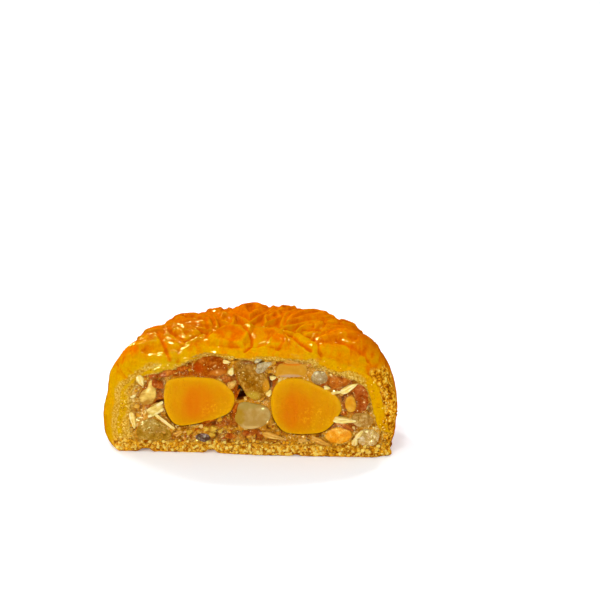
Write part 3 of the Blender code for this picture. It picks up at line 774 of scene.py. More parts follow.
def sticky_paste():
    """The filling's ground: a wet, see-through paste, jammy in places and crumbed at its edge."""
    f = Finish("sticky_paste", Coat_Roughness=0.03, Coat_IOR=1.5, **see_through(0.25, 1.4, 0.7, 0.2))
    jam = f.attribute("jam")
    depth = f.attribute("depth")
    patch = f.noise(2.6, 3, 0.6, 0.5)
    grains = f.cells(0.7)
    fleck = f.noise(0.4, 3, 0.65)
    mottle = f.noise(0.9, 3, 0.6, 0.6)
    tone = f.attribute("tone") * 0.4 + patch * 0.4 + (fleck - 0.5) * 0.9 + (mottle - 0.5) * 1.1 + 0.06
    lumps = f.ramp(tone, (0.05, (116, 50, 0)), (0.28, (176, 98, 6)), (0.44, (208, 138, 26)),
                   (0.58, (222, 138, 8)), (0.7, (226, 180, 80)), (0.9, (252, 222, 144)))
    jammy = f.ramp(fleck * 1.3 + mottle * 1.0 + patch * 0.3 - 0.85, (0.0, (244, 172, 66)),
                   (0.28, (196, 93, 5)), (0.5, (166, 64, 0)), (0.9, (92, 24, 0)))
    colour = f.mix(jam * 0.9, lumps, jammy)
    # Darker where the paste lies deep, in its seams, round the pieces and in the hollows: painted shade.
    colour = f.mix(depth.rise(0.3, 0.8) * 0.85, colour, (108, 36, 0))
    colour = f.mix(depth.rise(1.2, 2.6), colour, (74, 14, 0))
    # Crumb tones vary; darkest in the gaps between grains, a painted shade, and palest at their middles, a
    # painted highlight.
    crumbs = f.ramp(grains * 0.8 + fleck * 0.6 - 0.2, (0.0, (242, 208, 120)), (0.4, (216, 160, 50)),
                    (1.0, (150, 84, 4)))
    bare = (f.attribute("dust") + (fleck - 0.5) * 1.1).rise(0.3, 0.75)
    colour = f.mix(bare * depth.rise(0.9, 0.4), colour, crumbs)
    # Pale specks where the paste lies shallow: partly sugar, partly painted glints.
    sugar_and_glint_specks = f.noise(0.42, 2, 0.6)
    colour = f.mix(sugar_and_glint_specks.rise(0.63, 0.7) * depth.rise(1.0, 0.5) * 0.85, colour, (255, 220, 150))
    f.set(Base_Color=colour, Roughness=0.26 + fleck * 0.3,
          Coat_Weight=patch.rise(0.3, 0.5) * (1 - bare * 0.7))
    f.bump(fleck * 0.3 + (1 - grains) * 0.16 + mottle * 0.7 + sugar_and_glint_specks * 0.25)
    return f.material


def salted_yolk(name, streak, reach, pale_side):
    """Firm, fine-pored yolk: a deep streak at heart, yellower at the rim."""
    f = Finish(name, Coat_Roughness=0.25, Coat_Weight=0.05, **see_through(0.2, 1.6, 0.7, 0.1))
    rim = f.attribute("rim")
    cloud = f.noise(6.0, 2)
    bands = f.noise(1.8, 3, 0.6, 0.3, stretch=(1.0, 1.0, 0.22))
    inner = f.blot((streak[0] + 1.6, streak[1] + 0.6), (reach[0] * 2.5, reach[1] * 1.2))
    deep = f.blot(streak, reach, bands)
    heart = inner * 0.3 + deep * 0.2 + (cloud - 0.5) * 0.35 + (bands - 0.5) * 0.55 + (1 - rim) * 0.2 + 0.04
    colour = f.ramp(heart, (0.0, (214, 150, 0)), (0.25, (212, 136, 0)), (0.55, (214, 122, 0)),
                    (1.0, (214, 104, 0)))
    pale = f.blot(pale_side, (6.0, 5.0)) * f.noise(0.7, 2).rise(0.5, 0.75)
    colour = f.mix(pale * 0.5, colour, (244, 186, 20))
    colour = f.mix(rim.rise(0.4, 0.9) * (cloud * 0.5 + bands * 0.6 - 0.1), colour, (232, 166, 0))
    specks = f.noise(0.32, 1).rise(0.68, 0.76) * f.blot(pale_side, (8.0, 7.0))
    colour = f.mix(specks * 0.5, colour, (176, 92, 0))
    f.set(Base_Color=colour, Roughness=0.36 + cloud * 0.12)
    f.bump((1 - f.cells(0.5)) * 0.13 + f.noise(0.9, 2) * 0.34 + bands * 0.5)
    return f.material


def candied(name, deep, body, light, speckle, clear=0.35, gloss=0.8, blots=()):
    """Sugary see-through fruit or cured meat: tones, specks partly painted as glints, a moist gloss, and
    blots of other colours.
    """
    f = Finish(name, Coat_Roughness=0.03, **see_through(clear, 1.2, 0.9, 0.5))
    patch = f.noise(2.4, 2, 0.5, 0.4)
    fleck = f.noise(0.38, 3, 0.65)
    grains = f.cells(0.55)
    mottle = f.noise(0.9, 2, 0.6, 0.5)
    colour = f.ramp(patch * 0.8 + (fleck * 0.8 + mottle * 0.7 - 0.75) * speckle + 0.1, (0.2, deep),
                    (0.5, body), (0.85, light))
    for place, reach, tint in blots:
        colour = f.mix(f.blot(place, reach, patch * 0.6 + mottle * 0.4) * 0.75, colour, tint)
    # Specks of the light tone: partly sugar, partly painted glints.
    glint_and_sugar_specks = (fleck * 0.6 + (1 - grains) * 0.5).rise(0.70, 0.86)
    colour = f.mix(glint_and_sugar_specks * speckle, colour, light)
    f.set(Base_Color=colour, Roughness=0.2 + fleck * 0.25, Coat_Weight=patch.rise(0.3, 0.6) * gloss)
    f.bump(((1 - grains) * 0.12 + fleck * 0.25) * speckle + f.noise(1.1, 1, 0.6, 0.5) * (0.2 + 0.5 * speckle))
    return f.material


def nut_meat(name, shadow, body, light, gloss=0.3, spread=0.5):
    """Dry cream nut or seed meat with faint lengthwise lines."""
    f = Finish(name, Coat_Roughness=0.15, Coat_Weight=gloss, **see_through(0.25, 1.4, 0.9, 0.4))
    patch = f.noise(1.6, 3, 0.55, 0.3)
    lines = f.noise(0.5, 2, 0.5, 0.2, stretch=(0.35, 1.0, 1.0))
    colour = f.ramp(patch * 0.6 + lines * 0.4 + (f.attribute("tone") - 0.5) * spread, (0.1, shadow),
                    (0.5, body), (0.85, light))
    f.set(Base_Color=colour, Roughness=0.36 + patch * 0.2)
    f.bump(lines * 0.12 + patch * 0.1)
    return f.material


# Each yolk's deep streak, its reach and the yolk's paler side
YOLKS = {"yolk_left": ((-16.2, 15.6), (2.4, 6.0), (-9.0, 13.0)),
         "yolk_right": ((12.2, 13.4), (2.4, 7.0), (19.6, 11.5))}
# Dark, middle and light tone, how speckled, how clear, how glossy, and blots: place, reach and tone
CANDIED = {
    "melon_brown": ((112, 60, 0), (164, 102, 6), (222, 172, 72), 0.8, 0.5, 0.8,
                    (((5.2, 21.6), (1.3, 2.8), (226, 152, 20)), ((1.2, 18.6), (2.6, 1.7), (206, 170, 52)),
                     ((0.5, 28.8), (3.0, 0.6), (130, 46, 0)))),
    "melon_pale": ((166, 124, 44), (182, 142, 70), (214, 186, 116), 0.1, 0.5, 0.8,
                   (((-2.6, 11.8), (1.8, 3.8), (172, 128, 12)), ((-0.4, 15.6), (4.6, 1.6), (170, 142, 66)),
                    ((1.0, 8.4), (4.0, 0.8), (222, 184, 110)))),
    "melon_olive": ((132, 88, 8), (176, 126, 24), (224, 180, 84), 0.8, 0.5, 0.8,
                    (((-27.4, 7.0), (3.2, 1.6), (172, 120, 26)),)),
    "melon_grey": ((158, 112, 42), (208, 164, 84), (244, 224, 180), 0.9),
    "melon_round": ((136, 98, 44), (172, 134, 78), (214, 188, 146), 0.7, 0.5),
    "ham_top": ((126, 42, 0), (170, 78, 2), (214, 130, 42), 0.8, 0.35, 0.8,
                (((-14.2, 26.6), (1.6, 2.0), (180, 60, 0)), ((-8.4, 25.2), (3.0, 1.4), (214, 120, 20)))),
    "ham_right": ((132, 46, 0), (190, 96, 8), (226, 148, 50), 0.6, 0.35, 0.25),
    "ham_far": ((110, 32, 0), (168, 68, 0), (214, 130, 56), 0.7),
    "chicken": ((192, 130, 26), (200, 139, 31), (216, 164, 64), 0.08, 0.35, 0.25,
                (((12.0, 24.7), (4.0, 0.9), (196, 156, 124)), ((12.6, 28.6), (3.6, 0.7), (214, 112, 10)))),
    "amber": ((186, 104, 4), (222, 150, 24), (246, 204, 90), 0.2, 0.35, 1.0),
    "peel": ((214, 104, 0), (248, 162, 22), (255, 212, 100), 0.6, 0.35, 1.0),
    "raisin": ((56, 28, 12), (98, 60, 38), (196, 168, 156), 0.9, 0.35, 1.0),
    "date": ((144, 90, 18), (184, 128, 44), (226, 184, 104), 0.9),
    "jam": ((116, 34, 0), (184, 78, 0), (236, 150, 46), 0.9, 0.35, 1.0),
    "fat": ((150, 116, 60), (192, 162, 106), (238, 224, 190), 0.9, 0.35, 1.0),
    "sugar": ((220, 166, 70), (248, 206, 116), (255, 234, 170), 0.3, 0.35, 1.0),
}
# Dark, middle and light tone, how glossy, and how far the tones of single pieces spread
NUTS = {
    "nut": ((176, 116, 24), (236, 195, 90), (252, 234, 178)),
    "tan": ((166, 98, 12), (216, 156, 56), (246, 208, 130)),
    "sesame": ((160, 104, 10), (220, 168, 44), (246, 212, 110)),
    "crumb": ((156, 76, 0), (242, 170, 30), (255, 222, 108), 0.0, 0.8),
}
FINISHES = {name: make(name + "_finish", *numbers)
            for make, table in ((salted_yolk, YOLKS), (candied, CANDIED), (nut_meat, NUTS))
            for name, numbers in table.items()}


# Crust

def crumb_push(x, z, calm=0.0):
    """How far the cut pastry stands forward of the plain cut, in millimetres; less where it is calm."""
    torn = torn_share(x, 0.0, z) * (1 - calm)
    fine = 0.28 * grit(x, 0.0, z, 1.3, 6.0) + 0.2 * ripple(x, 0.0, z, 0.8, 7.0)
    coarse = 1.1 * grit(x, 0.0, z, 2.6, 8.0) + 1.0 * ripple(x, 0.0, z, 1.5, 2.5)
    return fine * (1 - calm) + torn * (coarse - 0.45)


def foot_spill(x, z):
    """How far crumbs bulge forward along the foot of the cut, right of the middle."""
    return 1.3 * smooth(-14, 4, x) * (1 - smooth(36, 40, x)) * (1 - smooth(0.5, 6.0, z))


def foot_notch(x):
    """Height of the nicks along the foot of the cut edge."""
    nicks = 1.5 * hump(-30.2, 2.4, x) + 1.6 * hump(-11.0, 2.2, x) + 0.5 * hump(13.5, 2.0, x)
    return nicks + 0.3 * abs(ripple(x, 0.0, 0.0, 1.7, 3.3)) + 0.15 * abs(ripple(x, 0.0, 0.0, 0.7, 1.3))


def turn_outline(line):
    """Half a turn of the outline: a circle's corners are laid along it and spun."""
    deselect()
    bpy.ops.mesh.primitive_circle_add(vertices=len(line) + 1, radius=CAKE_RADIUS * MM)
    crust = taken_up("crust_skin")
    open_edit(crust, [len(line)])
    bpy.ops.mesh.delete(type="VERT")
    work = bmesh.from_edit_mesh(crust.data)
    for corner, (radius, height) in zip(work.verts, line):
        corner.co = (radius * MM, 0, height * MM)
    bpy.ops.mesh.select_all(action="SELECT")
    bpy.ops.mesh.spin(steps=SPIN_STEPS, angle=math.pi, center=(0, 0, 0), axis=(0, 0, 1))
    bpy.ops.mesh.select_all(action="SELECT")
    bpy.ops.mesh.remove_doubles(threshold=0.001 * MM)
    close_edit(crust)
    return crust


def mould_skin(crust):
    """Press the pattern into the turned skin; gives the numbers of each corner that the finish reads."""
    rows = []
    for corner in crust.data.vertices:
        x, y, height = corner.co / MM
        radius = math.hypot(x, y)
        angle = math.atan2(abs(y), x)
        if height > 0.01:
            (x, y, z), lift, groove, torn, redness_and_crease_shade = skin_place(radius, angle, height)
            if abs(corner.co.y) < 1e-6:
                y = min(y, 0.0)
            reach = 1.5 + 1.3 * (1 - smooth(-36, -28, x)) * (1 - smooth(16, 26, z))
            reach += 1.1 * ripple(x, y, z, 4.0, 7.7) + 0.5 * ripple(x, y, z, 1.3, 2.7)
            crumb = 1 - smooth(0.1, max(0.4, reach), y)
            crumb *= 1 - 0.75 * smooth(3.0, 7.0, z) * smooth(-29, -24, x)
        else:
            side = lobed(radius, angle, 0.0)
            x, y, z = dragged(side * math.cos(angle), side * math.sin(angle), 0.0)
            lift, groove, torn, redness_and_crease_shade, crumb = 0.0, 0.0, torn_share(x, y, 0.0), 0.0, 0.8
            z += foot_notch(x) * (1 - smooth(0.0, 2.4, y)) * smooth(33.0, 36.0, radius + 40 * (y < 2.0))
        y -= foot_spill(x, z) * (1 - smooth(0.0, 1.5, y))
        corner.co = placed(x, y, z)
        rows.append((lift, groove, torn, redness_and_crease_shade, crumb))
    return rows


def hollow_edge(outer):
    """Where the cut pastry ends at the filling: a place across from each place of the cut's outer edge."""
    middle_x, middle_z = HOLLOW_MIDDLE
    edge = filling_outline(-0.35, 720)
    turns = np.array([math.atan2(z - middle_z, x - middle_x) for x, z in edge])
    reaches = np.array([math.hypot(x - middle_x, z - middle_z) for x, z in edge])
    order = np.argsort(turns)
    inner = []
    for x, _, z in outer:
        turn = math.atan2(z - middle_z, x - middle_x)
        reach = np.interp(turn, turns[order], reaches[order], period=2 * math.pi)
        reach += 0.4 * ripple(x, 0, z, 2.6, 5.0) + 0.25 * ripple(x, 0, z, 1.0, 6.0)
        reach += 0.7 * ripple(x, 0, 0, 4.5, 8.0) * (1 - smooth(6, 10, z))
        inner.append((middle_x + reach * math.cos(turn), middle_z + reach * math.sin(turn)))
    return inner


def cut_place(start, end, share):
    """A place on the cut pastry, a share of the way from the skin to the filling, and its numbers."""
    x = start[0] + share * (end[0] - start[0])
    z = start[2] + share * (end[1] - start[2])
    width = math.hypot(end[0] - start[0], end[1] - start[2])
    strip = smooth(33.5, 35.0, x) * smooth(5.0, 9.0, z) * (1 - smooth(2.6, 3.8, (1 - share) * width))
    y = -crumb_push(x, z, strip) * smooth(0.0, 0.9, share * width) - foot_spill(x, z)
    smear = smooth(8, 16, z) * smooth(-0.35, 0.1, ripple(x, 0, z, 5.5, 11.0)) * (1 - smooth(0.6, 1.0, share))
    crumb = max(smooth(0.05, 0.7, share), 1 - smooth(3.5, 6.5, z)) * (1 - strip) * (1 - smear)
    place = (x, y, z + 0.6 * foot_notch(x) * hump(0.0, 1.4, z))
    return place, (0.0, 0.0, torn_share(x, 0.0, z) * (1 - strip), 0.0, crumb)


def make_crust():
    """The baked skin, its cut edge and the hollow behind; gives the outline of its cut."""
    crust = turn_outline(skin_profile())
    rows = mould_skin(crust)
    loop, outer = open_rim(crust)
    inner = hollow_edge(outer)
    for step in range(1, CUT_STEPS + 1):
        share = (step / CUT_STEPS) ** 0.85
        places, numbers = zip(*(cut_place(start, end, share) for start, end in zip(outer, inner)))
        loop = extrude_rim(crust, loop, places)
        rows += [PLAIN_CRUMB] * len(loop)
        for index, row in zip(loop, numbers):
            rows[index] = row
    bowl(crust, loop, inner, CRUST_RINGS, HOLLOW_MIDDLE)
    rows += [PLAIN_CRUMB] * (len(crust.data.vertices) - len(rows))
    for name, column in zip(SKIN_NUMBERS, zip(*rows)):
        give_attribute(crust, name, column)
    finish_piece(crust, glazed_pastry(), "crust")
    return [(x, z) for x, _, z in outer]


# Filling

# Hollows in the paste, dark with painted shade: how deep, and the points of their outlines
HOLLOWS = ((3.4, ((-2.6, 21.3), (-0.8, 17.9), (-2.0, 17.1), (-3.3, 17.0), (-3.2, 19.0))),
           (1.8, ((-26.8, 16.0), (-25.2, 16.6), (-23.6, 16.4), (-24.6, 15.3), (-26.0, 15.0))),
           (1.6, ((-4.2, 28.8), (-2.9, 30.0), (0.2, 30.2), (3.0, 29.2), (5.0, 27.6), (2.6, 28.6), (0.2, 29.5),
                  (-2.6, 29.3))),
           (1.0, ((5.9, 24.0), (6.8, 23.4), (6.6, 20.8), (6.0, 21.0))))
# Where the paste is jammy: (x, z, reach across, reach up)
JAM = ((-20.0, 25.7, 9.5, 2.4), (-11.5, 26.2, 7.0, 3.4), (-4.6, 21.6, 2.8, 4.6), (-10.0, 9.6, 8.0, 1.6),
       (-27.0, 17.8, 4.6, 6.4), (25.4, 22.6, 5.8, 2.8), (30.4, 17.4, 5.0, 6.0), (27.4, 8.8, 5.0, 2.8),
       (2.4, 6.4, 5.0, 1.4), (9.0, 28.8, 4.4, 1.3), (6.2, 21.6, 1.8, 3.6), (-4.0, 13.0, 1.6, 3.6))
# The grid of the paste's face
CORE_SPACING = 0.27
CORE_LEFT = -36.5
CORE_FOOT = 1.6
CORE_COLUMNS = 288
CORE_ROWS = 110
CORE_MIDDLE = (0.0, 16.0)


def edge_distance(outline, xs, zs):
    """Distance of places from an outline, below 0 inside it."""
    ax, az = np.array(outline).T
    dx = np.roll(ax, -1) - ax
    dz = np.roll(az, -1) - az
    px = xs[:, None] - ax
    pz = zs[:, None] - az
    share = np.clip((px * dx + pz * dz) / (dx * dx + dz * dz), 0, 1)
    away = np.hypot(px - share * dx, pz - share * dz).min(axis=1)
    level = np.where(np.abs(dz) < 1e-9, 1e-9, dz)
    crossed = ((pz < 0) != (pz < dz)) & (px < pz / level * dx)
    return np.where(crossed.sum(axis=1) % 2 == 1, -away, away)


def distance_from(outline, x, z):
    """Distance of one place from an outline, below 0 inside it."""
    return edge_distance(outline, np.array([x]), np.array([z]))[0]


def piece_edge(name, count=60):
    """Outline of a piece in the cut, spread over most of the gap round it."""
    return grown(rounded(PIECES[name][-1], count), GAP_SPREAD)


def core_grid():
    """The paste's face on the cut: for each place its x, z and depth, how far it is from a piece, its
    lump's tone, and how far it is inside the filling's edge.
    """
    xs = CORE_LEFT + CORE_SPACING * np.arange(CORE_COLUMNS)
    zs = CORE_FOOT + CORE_SPACING * np.arange(CORE_ROWS)
    flat_x, flat_z = (side.ravel() for side in np.meshgrid(xs, zs))
    gaps = [edge_distance(piece_edge(name), flat_x, flat_z) for name in PIECES]
    gap = np.min(gaps, axis=0)
    yolk_gap = np.min(gaps[:len(YOLKS)], axis=0)
    inside = -edge_distance(filling_outline(), flat_x, flat_z)
    hollows = np.zeros(len(flat_x))
    for hollow, outline in HOLLOWS:
        hollows += hollow * np.clip(0.3 - 2 * edge_distance(rounded(outline, 40), flat_x, flat_z), 0, 1)
    depths = []
    tones = []
    for x, z, away, from_edge, from_yolk, hollow in zip(flat_x, flat_z, gap, inside, yolk_gap, hollows):
        warp = 0.9 * ripple(x, 0, z, 2.0, 8.0)
        distances, middles = noise.voronoi(Vector(((x + warp) / 3.4, 0.5, (z - warp) / 2.4)))
        seam = 1 - smooth(0.0, 0.22, distances[1] - distances[0])
        depth = 0.36 - 0.45 * max(0.0, 0.8 - distances[0]) + 0.34 * seam - 0.2 * grit(x, 0, z, 1.1, 2.0)
        depth -= (0.4 * ripple(x, 0, z, 4.0, 3.0) + 0.36 * ripple(x, 0, z, 1.5, 6.0)
                  + 0.2 * ripple(x, 0, z, 0.6, 4.0))
        depth = 0.05 + (depth - 0.05) * smooth(-0.2, 1.3, from_edge)
        depth = 0.02 + (depth - 0.02) * smooth(0.0, 0.7, abs(away))
        depth += 1.6 * smooth(0.0, 0.9, -away) + 0.9 * hump(0.3, 0.35, from_yolk) * smooth(15, 11, z)
        tones.append((middles[0].x * 12.9898 + middles[0].z * 78.233) % 1)
        depths.append(depth + hollow)
    return flat_x, flat_z, np.array(depths), gap, tones, inside


CORE_X, CORE_Z, CORE_DEPTH, CORE_GAP, CORE_TONE, CORE_INSIDE = core_grid()


def core_at(x, z):
    """Depth of the paste's face at a place, and how far the place is from a cut piece."""
    column = min(CORE_COLUMNS - 1, max(0, round((x - CORE_LEFT) / CORE_SPACING)))
    row = min(CORE_ROWS - 1, max(0, round((z - CORE_FOOT) / CORE_SPACING)))
    return CORE_DEPTH[row * CORE_COLUMNS + column], CORE_GAP[row * CORE_COLUMNS + column]


def make_core():
    """The sticky paste between the pieces: a grid trimmed to the filling's edge, and closed behind."""
    deselect()
    bpy.ops.mesh.primitive_grid_add(x_subdivisions=CORE_COLUMNS - 1, y_subdivisions=CORE_ROWS - 1, size=MM)
    core = taken_up("filling_core")
    for corner, x, y, z in zip(core.data.vertices, CORE_X, CORE_DEPTH, CORE_Z):
        corner.co = placed(x, y, z)
    give_attribute(core, "tone", CORE_TONE)
    give_attribute(core, "dust", [1 - smooth(0.0, 1.9 + 1.2 * (x < -27), inside)
                                  for x, inside in zip(CORE_X, CORE_INSIDE)])
    outside = np.flatnonzero(edge_distance(filling_outline(0.5), CORE_X, CORE_Z) > 0)
    open_edit(core, outside.tolist())
    bpy.ops.mesh.delete(type="VERT")
    bpy.ops.mesh.select_all(action="SELECT")
    bpy.ops.mesh.delete_loose()
    close_edit(core)
    jams = []
    depths = []
    for corner in core.data.vertices:
        x, y, z = unplaced(corner.co)
        near = max(1 - math.hypot((x - jx) / wide, (z - jz) / high) for jx, jz, wide, high in JAM)
        jams.append(smooth(0.0, 0.35, near + 0.25 * ripple(x, 0, z, 2.2, 6.0)))
        depths.append(y)
    loop, rim = open_rim(core)
    bowl(core, loop, [(x, z) for x, _, z in rim], CORE_RINGS, CORE_MIDDLE)
    extra = [0.0] * (len(core.data.vertices) - len(jams))
    give_attribute(core, "jam", jams + extra)
    give_attribute(core, "depth", depths + extra)
    finish_piece(core, sticky_paste(), "filling")


def make_cut_piece(name):
    """A piece that the knife went through: a ball drawn to its outline, flat in front and sunk behind."""
    finish, slot, depth, proud, flat, lumps, _ = PIECES[name]
    count, rings = YOLK_MESH if slot == "yolk" else PIECE_MESH
    edge = piece_edge(name, count)
    x = sum(point[0] for point in edge) / count
    z = sum(point[1] for point in edge) / count
    deselect()
    bpy.ops.mesh.primitive_uv_sphere_add(segments=count, ring_count=rings, radius=1)
    piece = taken_up(name + "_flesh")
    rims = []
    tones = []
    for corner in piece.data.vertices:
        ring = math.acos(max(-1.0, min(1.0, corner.co.z))) / math.pi
        turn = math.atan2(corner.co.y, corner.co.x) / (2 * math.pi) * count
        if ring < FRONT_SHARE:
            share = math.sin(ring / FRONT_SHARE * math.pi / 2)
            y = -0.5 * proud * math.sqrt(max(0.0, 1 - share ** flat))
        else:
            behind = (ring - FRONT_SHARE) / (1 - FRONT_SHARE) * math.pi / 2
            share = max(0.0, math.cos(behind)) ** 0.7
            y = depth * math.sin(behind)
        rim_x, rim_z = edge[round(turn) % count]
        px = x + (rim_x - x) * share
        pz = z + (rim_z - z) * share
        push = sum(height * ripple(px, y, pz, size, 1.3 * x) for size, height in lumps)
        along_rim = smooth(0.6, 1.0, share) * 0.8
        out = Vector((rim_x - x, rim_z - z)).normalized() * push * along_rim
        corner.co = placed(px + out.x, y - push * (1 - 0.7 * along_rim), pz + out.y)
        rims.append(share ** 4 if ring < FRONT_SHARE else 1.0)
        # The tone rises towards the top of the face, a painted sheen, and falls towards the rim.
        tones.append(0.3 + 0.08 * (pz - z) + 0.4 * ripple(px, y, pz, 1.6, 2.2) - 0.3 * rims[-1])
    give_attribute(piece, "rim", rims)
    give_attribute(piece, "tone", tones)
    finish_piece(piece, FINISHES[finish], name)


# Small things: joined from copies of one shape

def base_shape(kind):
    """Corners and faces of a unit shape that the small things repeat."""
    deselect()
    if kind in ("seed", "bar"):
        bpy.ops.mesh.primitive_uv_sphere_add(segments=28, ring_count=16, radius=1)
    else:
        bpy.ops.mesh.primitive_ico_sphere_add(subdivisions=2 if kind == "bit" else 1, radius=1)
    shape = bpy.context.object
    corners = [corner.co.copy() for corner in shape.data.vertices]
    faces = [tuple(face.vertices) for face in shape.data.polygons]
    bpy.data.objects.remove(shape)
    return corners, faces


def join_copies(name, kind, copies, finish, uneven, slot="filling"):
    """One mesh of copies of a shape: each has a place, three half sizes, a turn, and a tone from 0 to 1."""
    corners, faces = base_shape(kind)
    all_corners = []
    all_faces = []
    tones = []
    for number, (place, half_sizes, turn, tone) in enumerate(copies):
        start = len(all_corners)
        spin = turn.to_matrix()
        for corner in corners:
            shaped = corner.copy()
            shade = tone
            if kind == "seed":
                # Z is the seed's length: blunt at one end and pointed at the other
                narrow = 1 - 0.45 * corner.z
                groove = 0.4 * hump(0.0, 0.35, corner.x) * (corner.y < 0)
                shaped = Vector((corner.x * narrow, corner.y * narrow * (1 - groove), corner.z))
                # Darker in the groove and towards the sides: painted shade.
                shade -= 0.7 * groove + 0.55 * smooth(0.5, 1.0, abs(corner.x))
            elif kind == "bar":
                shaped = Vector([math.copysign(abs(side) ** 0.4, side) for side in corner])
                # Darker towards the sides: painted shade.
                shade -= 0.8 * smooth(0.5, 0.9, abs(corner.x))
            shaped *= 1 + uneven * noise.noise(corner * 1.6 + Vector((7.3 * number, 0, 0)))
            shaped = spin @ Vector([side * half for side, half in zip(shaped, half_sizes)])
            all_corners.append(placed(*(shaped + place)))
            tones.append(shade)
        all_faces += [tuple(index + start for index in face) for face in faces]
    mesh = bpy.data.meshes.new(name)
    mesh.from_pydata(all_corners, [], all_faces)
    piece = bpy.data.objects.new(name, mesh)
    bpy.context.scene.collection.objects.link(piece)
    give_attribute(piece, "tone", tones)
    finish_piece(piece, FINISHES[finish], slot)


def any_turn(draw):
    """A turn drawn at random."""
    return Euler([draw.uniform(0, 2 * math.pi) for _ in range(3)]).to_quaternion()


def lying(x, z, length, width, tilt, lift, thick, tone):
    """A copy that lies on the cut: its place, half sizes with the length last, its turn and tone."""
    thickness = width * thick
    y = min(LAID_DEEPEST, core_at(x, z)[0]) - LAID_PROUD * thickness - lift
    turn = Euler((0, math.radians(90 - tilt), 0)).to_quaternion()
    return Vector((x, y, z)), (width / 2, thickness / 2, length / 2), turn, tone


def strewn_on(name, count, seed):
    """Grains of sugar that lie on the cut face of one piece."""
    draw = random.Random(seed)
    edge = piece_edge(name)
    y = -0.5 * PIECES[name][3]
    copies = []
    while len(copies) < count:
        x = draw.uniform(min(edge)[0], max(edge)[0])
        z = draw.uniform(min(z for _, z in edge), max(z for _, z in edge))
        if distance_from(edge, x, z) <= -0.35:
            size = draw.uniform(*SUGAR_SIZES) / 2
            turn = any_turn(draw)
            copies.append((Vector((x, y, z)), (size, size, size * 1.3), turn, draw.random()))
    return copies


def scattered(count, sizes, seed, room, out):
    """Copies strewn over the paste, turned and sized at random, with room between them and the cut
    pieces. Their middles stand out of the paste by a share of their size, or are sunk if it is below 0.
    """
    draw = random.Random(seed)
    edge = filling_outline(-0.6)
    copies = []
    while len(copies) < count:
        x, z = (draw.uniform(*span) for span in STREWN_SPAN)
        depth, gap = core_at(x, z)
        size = draw.uniform(*sizes) / 2
        if gap < size + room or depth > 1.6 or distance_from(edge, x, z) > 0:
            continue
        turn = any_turn(draw)
        halves = (size, size * draw.uniform(0.6, 0.9), size * draw.uniform(1.0, 1.3))
        copies.append((Vector((x, depth - out * size, z)), halves, turn, draw.random()))
    return copies


# Seeds and slivers that can be told apart: shape, finish, lift off the paste, thickness as a share of the
# width, tone, unevenness, and each one's (x, z, length, width, tilt)
LAID = {
    "cream_seeds": ("seed", "nut", 0.0, 0.75, 0.75, 0.25, (
        (-33.6, 10.0, 5.2, 1.7, -80), (-30.9, 22.5, 3.2, 1.9, -72), (-33.2, 17.6, 2.2, 0.9, 40),
        (28.9, 21.3, 5.0, 1.9, 32), (25.6, 19.9, 3.6, 0.8, 10), (27.7, 11.2, 6.2, 2.0, -4),
        (30.7, 4.5, 2.8, 1.8, 76), (32.0, 6.9, 3.2, 1.4, 52), (-4.9, 26.0, 2.4, 1.7, 70),
        (-6.2, 28.9, 2.2, 1.1, -8), (22.6, 21.2, 1.9, 1.1, -10), (6.0, 19.5, 2.0, 1.6, 60),
        (7.1, 24.0, 2.0, 1.3, 10))),
    "cream_bars": ("bar", "nut", 0.2, 0.9, 0.65, 0.1, (
        (-24.3, 9.8, 7.0, 1.0, -40), (-27.1, 14.6, 5.4, 0.9, 31), (-26.8, 12.5, 5.2, 0.9, 29))),
    "tan_slices": ("seed", "tan", 0.0, 0.5, 0.5, 0.3, (
        (7.3, 5.7, 6.2, 1.9, -16), (21.2, 4.2, 5.4, 1.7, -26), (-24.2, 6.6, 2.4, 1.3, 8),
        (-20.4, 6.2, 2.4, 1.6, 30), (6.5, 28.4, 2.8, 1.4, 28), (12.6, 29.0, 4.0, 1.2, -8),
        (-4.7, 21.9, 3.0, 2.0, 40), (15.6, 4.4, 3.0, 1.4, 6), (-27.2, 14.9, 3.2, 0.8, 34))),
    "jam_lumps": ("seed", "jam", 0.0, 0.6, 0.5, 0.45, (
        (-3.2, 18.8, 3.4, 0.9, 64), (-22.8, 25.1, 5.4, 1.5, 16), (-18.6, 26.6, 3.6, 1.3, 10),
        (-26.0, 21.4, 3.4, 2.4, -30), (-27.4, 24.0, 2.6, 1.3, 20), (-5.0, 5.6, 3.0, 1.7, -10),
        (-0.2, 6.4, 3.6, 1.5, -6), (27.9, 9.3, 5.6, 1.6, -26), (-6.0, 23.4, 3.6, 1.7, -24),
        (27.6, 13.6, 1.8, 1.2, -20), (-25.6, 18.0, 2.4, 1.2, 74), (-3.6, 14.6, 3.2, 1.1, 66),
        (-11.6, 10.0, 5.0, 1.0, 16))),
    "sesame": ("seed", "sesame", 0.0, 0.7, 0.5, 0.1, (
        (-12.3, 7.7, 1.7, 1.5, 0), (-10.2, 7.8, 1.9, 1.6, 0), (-10.6, 5.9, 1.9, 1.4, -10),
        (-8.2, 7.0, 1.5, 1.2, 40), (-17.2, 6.8, 1.9, 1.5, 20), (-10.3, 6.8, 1.8, 0.9, 4))),
    "fat_crinkles": ("seed", "fat", 0.0, 0.6, 0.5, 0.5, (
        (4.6, 27.6, 4.6, 2.4, 34), (2.9, 29.3, 2.0, 1.0, 20))),
}
# How deep a laid thing may lie, and the share of its thickness that it stands out by
LAID_DEEPEST = 0.35
LAID_PROUD = 0.35
# Bits strewn over the paste: finish, number, sizes, seed and unevenness
STREWN = {"nut_crumbs": ("tan", 56, (0.7, 1.6), 3, 0.45), "amber_bits": ("amber", 56, (0.7, 1.7), 4, 0.4),
          "jam_bits": ("jam", 44, (0.6, 1.5), 5, 0.45)}
